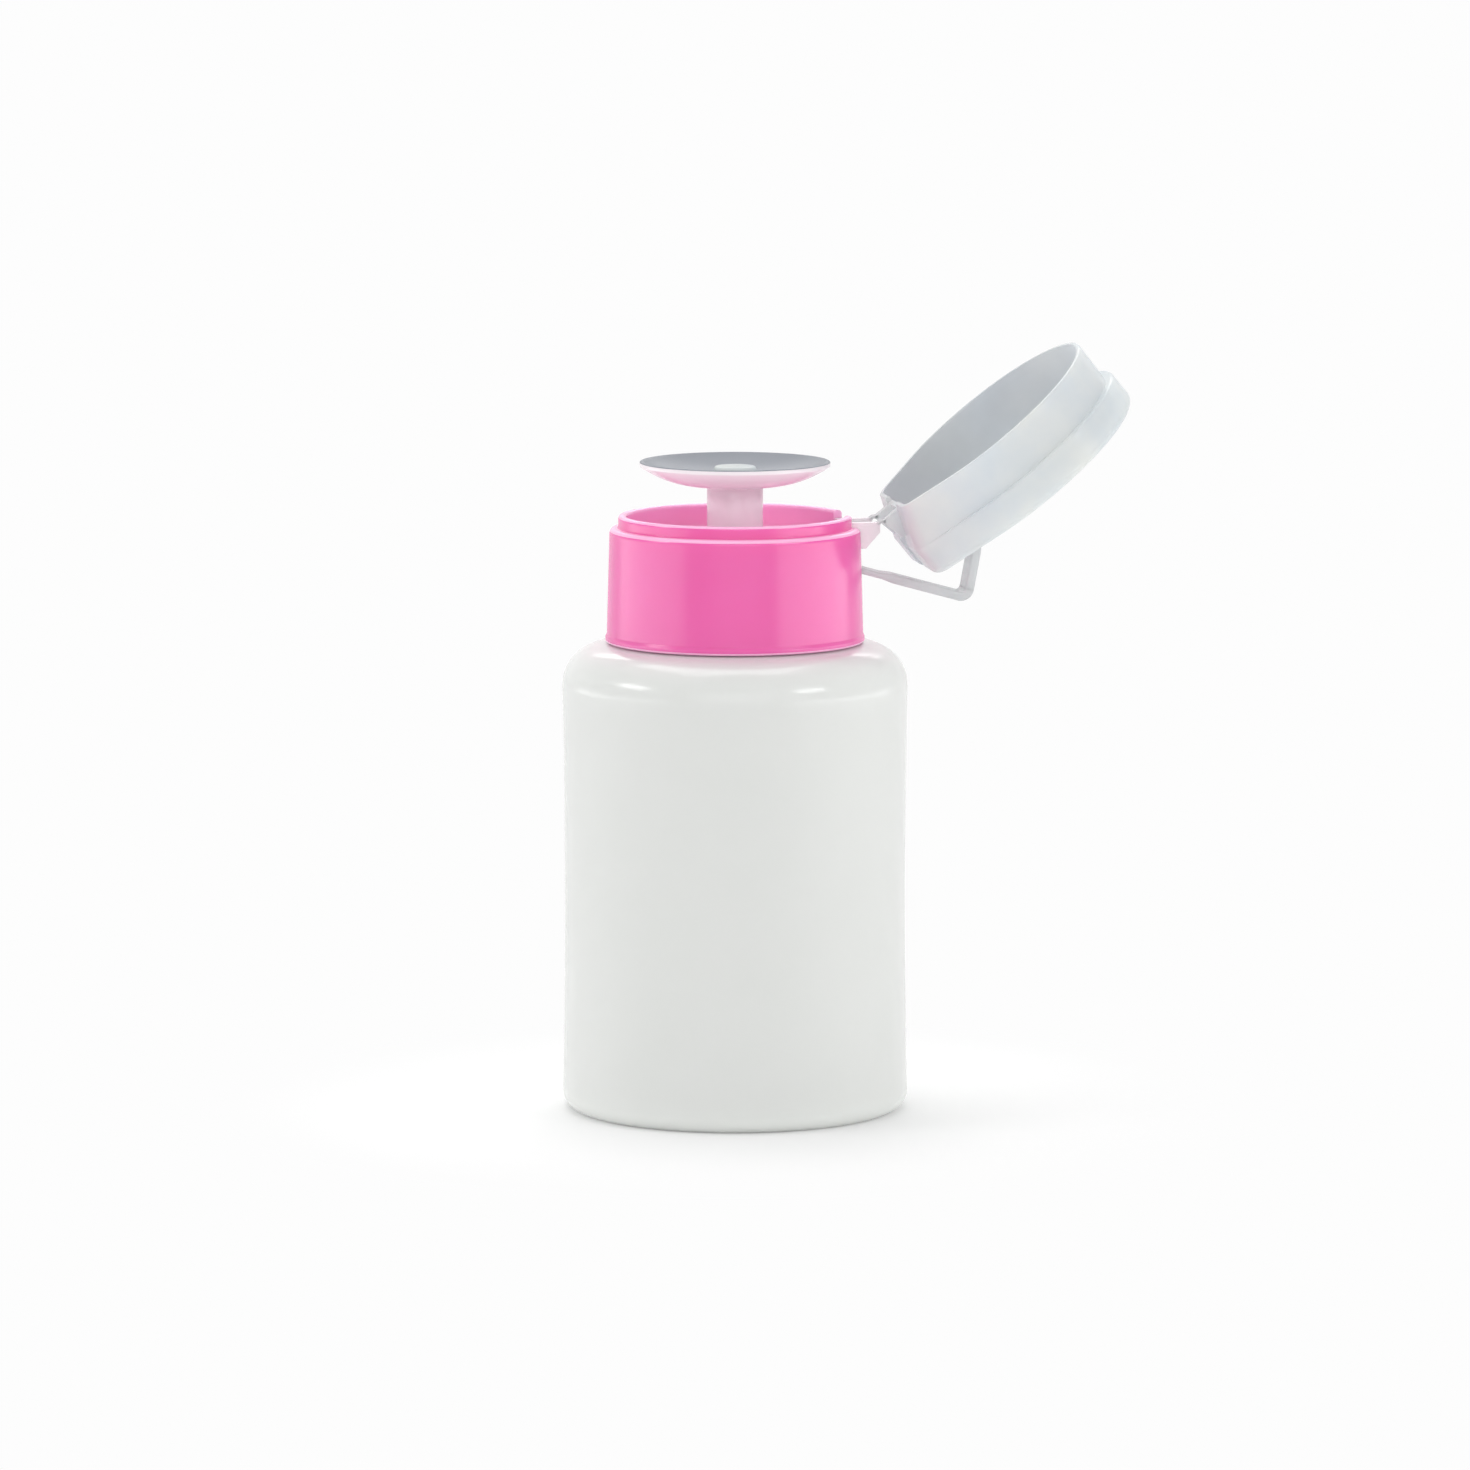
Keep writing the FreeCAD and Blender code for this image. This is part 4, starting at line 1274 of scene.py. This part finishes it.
    def towards_middle(self, plan: Sequence[Point], z: float,
                       gate: float) -> list[tuple[list[Point], float]]:
        """Rows of a level face from its edge to the middle, with the dimple of the mould's gate.

        Args:
            plan: Edge of the face.
            z: Its height.
            gate: Height of the gate's mark, negative for a dimple.

        Returns:
            Plans and heights of the rows after the edge.
        """
        rows = [([(x * share, y * share) for x, y in plan], z) for share in self.face_rows]
        for share, rise in self.gate_mark:
            ring = [Vector(p).normalized() * (self.gate_r * share) for p in plan]
            rows.append(([tuple(p) for p in ring], z + gate * rise))
        return rows

    def lug_spans(self) -> list[Point]:
        """The two lugs' places along Y."""
        return [(-self.lug[1], -self.lug[0]), self.lug]

    def necks(self) -> list[bpy.types.Object]:
        """The two necks between the lid's hinge wall and the films, drawn shut.

        Returns:
            The two objects.
        """
        tip_x = self.hinge[0] - self.film_r / 2
        low = self.hinge[1] + self.seat_gap
        high = low + self.neck_height
        inner = self.back_x - self.wall / 2
        outline = [(inner, low), (tip_x - self.film_r, low), (tip_x, self.hinge[1] + self.film_r / 2),
                   (tip_x, self.hinge[1] + self.neck_rise * self.film_r),
                   (self.back_x + self.back_lean, high), (inner, high)]
        return [solid("neck", prism(outline, *span)) for span in self.lug_spans()]

    def lug_room(self) -> bpy.types.Object:
        """Room for the hinge base's lugs in the shut lid's mouth."""
        return solid("room", box((self.back_x - 2 * self.wall, self.hinge[0]), both(self.notch_half),
                                 (self.mouth_z - self.wall, self.hinge[1] + self.seat_gap)))

    def strap_boss(self) -> bpy.types.Object:
        """Block on the lid's top that the strap's tip film leaves."""
        end = self.tip_shut[0] - self.film_r
        return solid("boss", box((end - self.strap_thick, end), both(self.strap_half),
                                 (self.top_z - self.top_thick / 2, self.tip_shut[1] + self.strap_thin / 2)))

    def relief(self) -> bpy.types.Object:
        """Room that the shut strap needs in the lid's top and back.

        Returns:
            The tool that cuts it.
        """
        inset = self.strap_thick / 2 + self.relief_gap
        over = 4 * self.strap_thick
        tip, knee, root = Vector(self.tip_shut), Vector(self.knee_shut), Vector(self.root)
        upper = (knee - tip).normalized()
        lower = (knee - root).normalized()
        run = self.elbow_run()
        below = Vector((upper.y, -upper.x)) * inset
        beside = Vector((-lower.y, lower.x)) * inset
        outline = [tip + below, knee + below - upper * run, knee + beside - lower * run, root + beside,
                   root + beside + Vector((2 * over, 0)), knee + Vector((over, over)),
                   Vector((tip.x + below.x, knee.y + over))]
        return solid("relief", prism([tuple(p) for p in outline], *both(self.slot_half)))

    def elbow_run(self) -> float:
        """Distance from the knee's corner to where its bend starts.

        Returns:
            Distance in millimetres.
        """
        to_root = Vector(self.root) - Vector(self.knee)
        to_tip = Vector(self.tip) - Vector(self.knee)
        return self.elbow_r / math.tan(to_root.angle(to_tip) / 2)

    def strap(self) -> None:
        """Mould the strap's two arms; the lower one carries the round elbow."""
        root, knee, tip = Vector(self.root), Vector(self.knee), Vector(self.tip)
        bend = rounded([(*root, 0), (*knee, self.elbow_r), (*tip, 0)], self.elbow_steps)[1:-1]
        middle = self.strap_thin + (self.strap_thick - self.strap_thin) / 2
        for name, node, start, thin_run, tail, body in (
                ("strap_arm_lower", "strap_lower_arm", root, self.root_run, bend, Body.STRAP_LOWER),
                ("strap_arm_upper", "strap_upper_arm", tip, self.tip_run, [], Body.STRAP_UPPER)):
            way = (knee - start).normalized()
            length = (knee - start).length - self.elbow_run()
            stops = [self.film_r, thin_run, thin_run + self.taper_run / 2, thin_run + self.taper_run,
                     length - self.elbow_back]
            if not tail:
                stops.append(length + self.elbow_lap)
            path = [tuple(start + way * stop) for stop in stops] + tail
            thick = [self.strap_thin, self.strap_thin, middle] + [self.strap_thick] * (len(path) - 3)
            arm = ribbon(path, thick, both(self.strap_half), self.strap_edge)
            mounted(piece(name, arm, PP_STRAP), body, node)

    def films(self) -> None:
        """Thin films, drawn bent in the open pose where the lid and the strap turn."""
        open_turn = Matrix.Rotation(-math.radians(self.open_deg), 2)
        root, knee, tip = Vector(self.root), Vector(self.knee), Vector(self.tip)
        lug_way = Vector(self.lug_way)
        neck_way = open_turn @ Vector((lug_way.x, -lug_way.y))
        inward = Vector((-1, 0))
        strap_span = [both(self.strap_half)]
        for name, node, spot, ways, spans, ends, bodies in (
                ("lid_film", "lid_hinge_films", Vector(self.hinge), (lug_way, neck_way), self.lug_spans(),
                 2 * self.film_r, (Body.CLOSURE, Body.LID)),
                ("strap_film_root", "strap_root_film", root, (inward, (knee - root).normalized()), strap_span,
                 self.strap_thin, (Body.CLOSURE, Body.STRAP_LOWER)),
                ("strap_film_tip", "strap_tip_film", tip, (open_turn @ inward, (knee - tip).normalized()),
                 strap_span, self.strap_thin, (Body.LID, Body.STRAP_UPPER))):
            steps = self.film_steps
            path = [tuple(spot + ways[0] * (self.film_reach * (1 - k / steps))) for k in range(steps)]
            path += [tuple(spot + ways[1] * (self.film_reach * k / steps)) for k in range(steps + 1)]
            thick = [self.film_thick + (ends - self.film_thick) * (abs(k - steps) / steps)**2
                     for k in range(2 * steps + 1)]
            for i, span in enumerate(spans):
                web = piece(f"{name}_{i + 1}", ribbon(path, thick, span, self.film_edge), PP_STRAP)
                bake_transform(web)
                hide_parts(node)


@dataclass(frozen=True)
class Softbox:
    """An upright softbox that faces the bottle's axis.

    Attributes:
        name: Name of the lamp.
        azimuth: Degrees round the bottle, counted from the camera's side to the right.
        away: Distance from the bottle's axis in metres.
        span: Heights of its lower and upper edge in metres.
        width: Width in metres.
        radiance: Brightness of its face, where one is white.
    """

    name: str
    azimuth: float
    away: float
    span: Point
    width: float
    radiance: float


# Low strips draw the bands on the collar, and high boxes the highlights on the shoulder
SOFTBOXES = (Softbox("strip_left", -86.0, 0.55, (0.015, 0.085), 0.92, 2.0),
             Softbox("strip_right", 80.0, 0.55, (0.015, 0.085), 0.98, 2.4),
             Softbox("softbox_left", -76.0, 0.75, (0.38, 0.5), 0.3, 9.5),
             Softbox("softbox_right", 54.0, 0.75, (0.38, 0.5), 0.3, 9.5),
             Softbox("softbox_front", 4.0, 1.2, (0.1, 0.8), 1.0, 0.95),
             Softbox("softbox_back", 178.0, 0.75, (0.4, 0.75), 0.6, 2.5))


@dataclass
class Studio:
    """Pale floor, soft studio light and the camera of the photograph."""

    azimuth: float = -10.0
    elevation: float = 7.5
    distance: float = 1.56
    aim_z: float = 0.0652
    lens: float = 220.4
    sensor: float = 36.0
    far: float = 100.0
    ambient: float = 0.465
    top_spot: Corner = (0.0, 0.22, 0.9)
    top_width: float = 0.7
    top_radiance: float = 2.6
    floor_half: float = 8.0
    shadow_near: float = 0.031
    shadow_far: float = 0.09
    shadow_share: float = 0.75
    white: str = "#FDFDFD"
    paper: str = "#FCFCFC"

    def build(self) -> None:
        """Set up camera, world, floor and lamps; the top one hangs back, so the shadow falls to the front."""
        self.camera()
        self.world()
        self.floor()
        for lamp in SOFTBOXES:
            turn = math.radians(lamp.azimuth + self.azimuth)
            middle = (lamp.span[0] + lamp.span[1]) / 2
            spot = Vector((lamp.away * math.sin(turn), -lamp.away * math.cos(turn), middle))
            self.panel(lamp.name, spot, Vector((0, 0, middle)), (lamp.width, lamp.span[1] - lamp.span[0]),
                       lamp.radiance)
        self.panel("softbox_top", Vector(self.top_spot), Vector((0, 0, 0)), (self.top_width, self.top_width),
                   self.top_radiance)
        bpy.context.scene.view_settings.view_transform = "Standard"

    def camera(self) -> None:
        """Place the camera at the photograph's viewing angle."""
        data = bpy.data.cameras.new("camera")
        data.sensor_width = self.sensor
        data.lens = self.lens
        data.clip_end = self.far
        shown = linked("camera", data)
        turn = math.radians(self.azimuth)
        tilt = math.radians(self.elevation)
        away = Vector((math.sin(turn) * math.cos(tilt), -math.cos(turn) * math.cos(tilt), math.sin(tilt)))
        shown.location = Vector((0, 0, self.aim_z)) + away * self.distance
        shown.rotation_euler = (-away).to_track_quat("-Z", "Y").to_euler()
        bpy.context.scene.camera = shown

    def seen(self, tree: bpy.types.NodeTree) -> bpy.types.NodeSocket:
        """Socket that is one for rays from the camera, mirrors and glass.

        Args:
            tree: Tree that gets the nodes.

        Returns:
            The socket.
        """
        path = add_node(tree, "ShaderNodeLightPath").outputs
        seen = path["Is Camera Ray"]
        for kind in ("Is Glossy Ray", "Is Transmission Ray"):
            seen = add_node(tree, "ShaderNodeMath", {"operation": "MAXIMUM"},
                            {0: seen, 1: path[kind]}).outputs[0]
        return seen

    def world(self) -> None:
        """Even light all round, and white behind the object."""
        world = bpy.data.worlds.new("studio")
        tree = empty_tree(world)
        light = add_node(tree, "ShaderNodeBackground", {"Color": linear("#FFFFFF"), "Strength": self.ambient})
        white = add_node(tree, "ShaderNodeBackground", {"Color": linear(self.white), "Strength": 1.0})
        mixed = add_node(tree, "ShaderNodeMixShader",
                         links={0: self.seen(tree), 1: light.outputs[0], 2: white.outputs[0]})
        add_node(tree, "ShaderNodeOutputWorld", links={"Surface": mixed.outputs[0]})
        bpy.context.scene.world = world

    def floor(self) -> None:
        """Pale floor that keeps the object's shadow near its foot."""
        h = self.floor_half
        mesh = bpy.data.meshes.new("floor")
        mesh.from_pydata([(-h, -h, 0), (h, -h, 0), (h, h, 0), (-h, h, 0)], [], [(0, 1, 2, 3)])
        shown = linked("floor", mesh)
        made = bpy.data.materials.new("Studio paper")
        tree = empty_tree(made)
        paper = add_node(tree, "ShaderNodeBsdfDiffuse", {"Color": linear(self.paper)})
        white = add_node(tree, "ShaderNodeEmission", {"Color": linear(self.white), "Strength": 1.0})
        place = add_node(tree, "ShaderNodeTexCoord").outputs["Object"]
        away = add_node(tree, "ShaderNodeVectorMath", {"operation": "LENGTH"}, {0: place})
        fade = add_node(tree, "ShaderNodeMapRange",
                        {"interpolation_type": "SMOOTHSTEP", "From Min": self.shadow_near,
                         "From Max": self.shadow_far, "To Min": 1 - self.shadow_share, "To Max": 1.0},
                        {"Value": away.outputs["Value"]})
        share = add_node(tree, "ShaderNodeMath", {"operation": "MULTIPLY"},
                         {0: self.seen(tree), 1: fade.outputs["Result"]})
        mixed = add_node(tree, "ShaderNodeMixShader",
                         links={0: share.outputs[0], 1: paper.outputs[0], 2: white.outputs[0]})
        add_node(tree, "ShaderNodeOutputMaterial", links={"Surface": mixed.outputs[0]})
        mesh.materials.append(made)

    def panel(self, name: str, spot: Vector, aim: Vector, size: Point, radiance: float) -> None:
        """Add one flat lamp.

        Args:
            name: Name of the lamp.
            spot: Its middle.
            aim: Point that it faces.
            size: Width and height in metres.
            radiance: Brightness of its face, where one is white.
        """
        data = bpy.data.lights.new(name, "AREA")
        data.shape = "RECTANGLE"
        data.size, data.size_y = size
        data.energy = radiance * math.pi * size[0] * size[1]
        shown = linked(name, data)
        shown.location = spot
        shown.rotation_euler = (aim - spot).to_track_quat("-Z", "Y").to_euler()
        shown.visible_camera = False


def main() -> None:
    """Build the sub-assemblies in order and dress them."""
    logging.basicConfig(level=logging.INFO, format="%(name)s %(message)s")
    for part in (Studio(), Bottle(), Closure(), Pump(), FlipLid()):
        part.build()


if __name__ == "__main__":
    main()
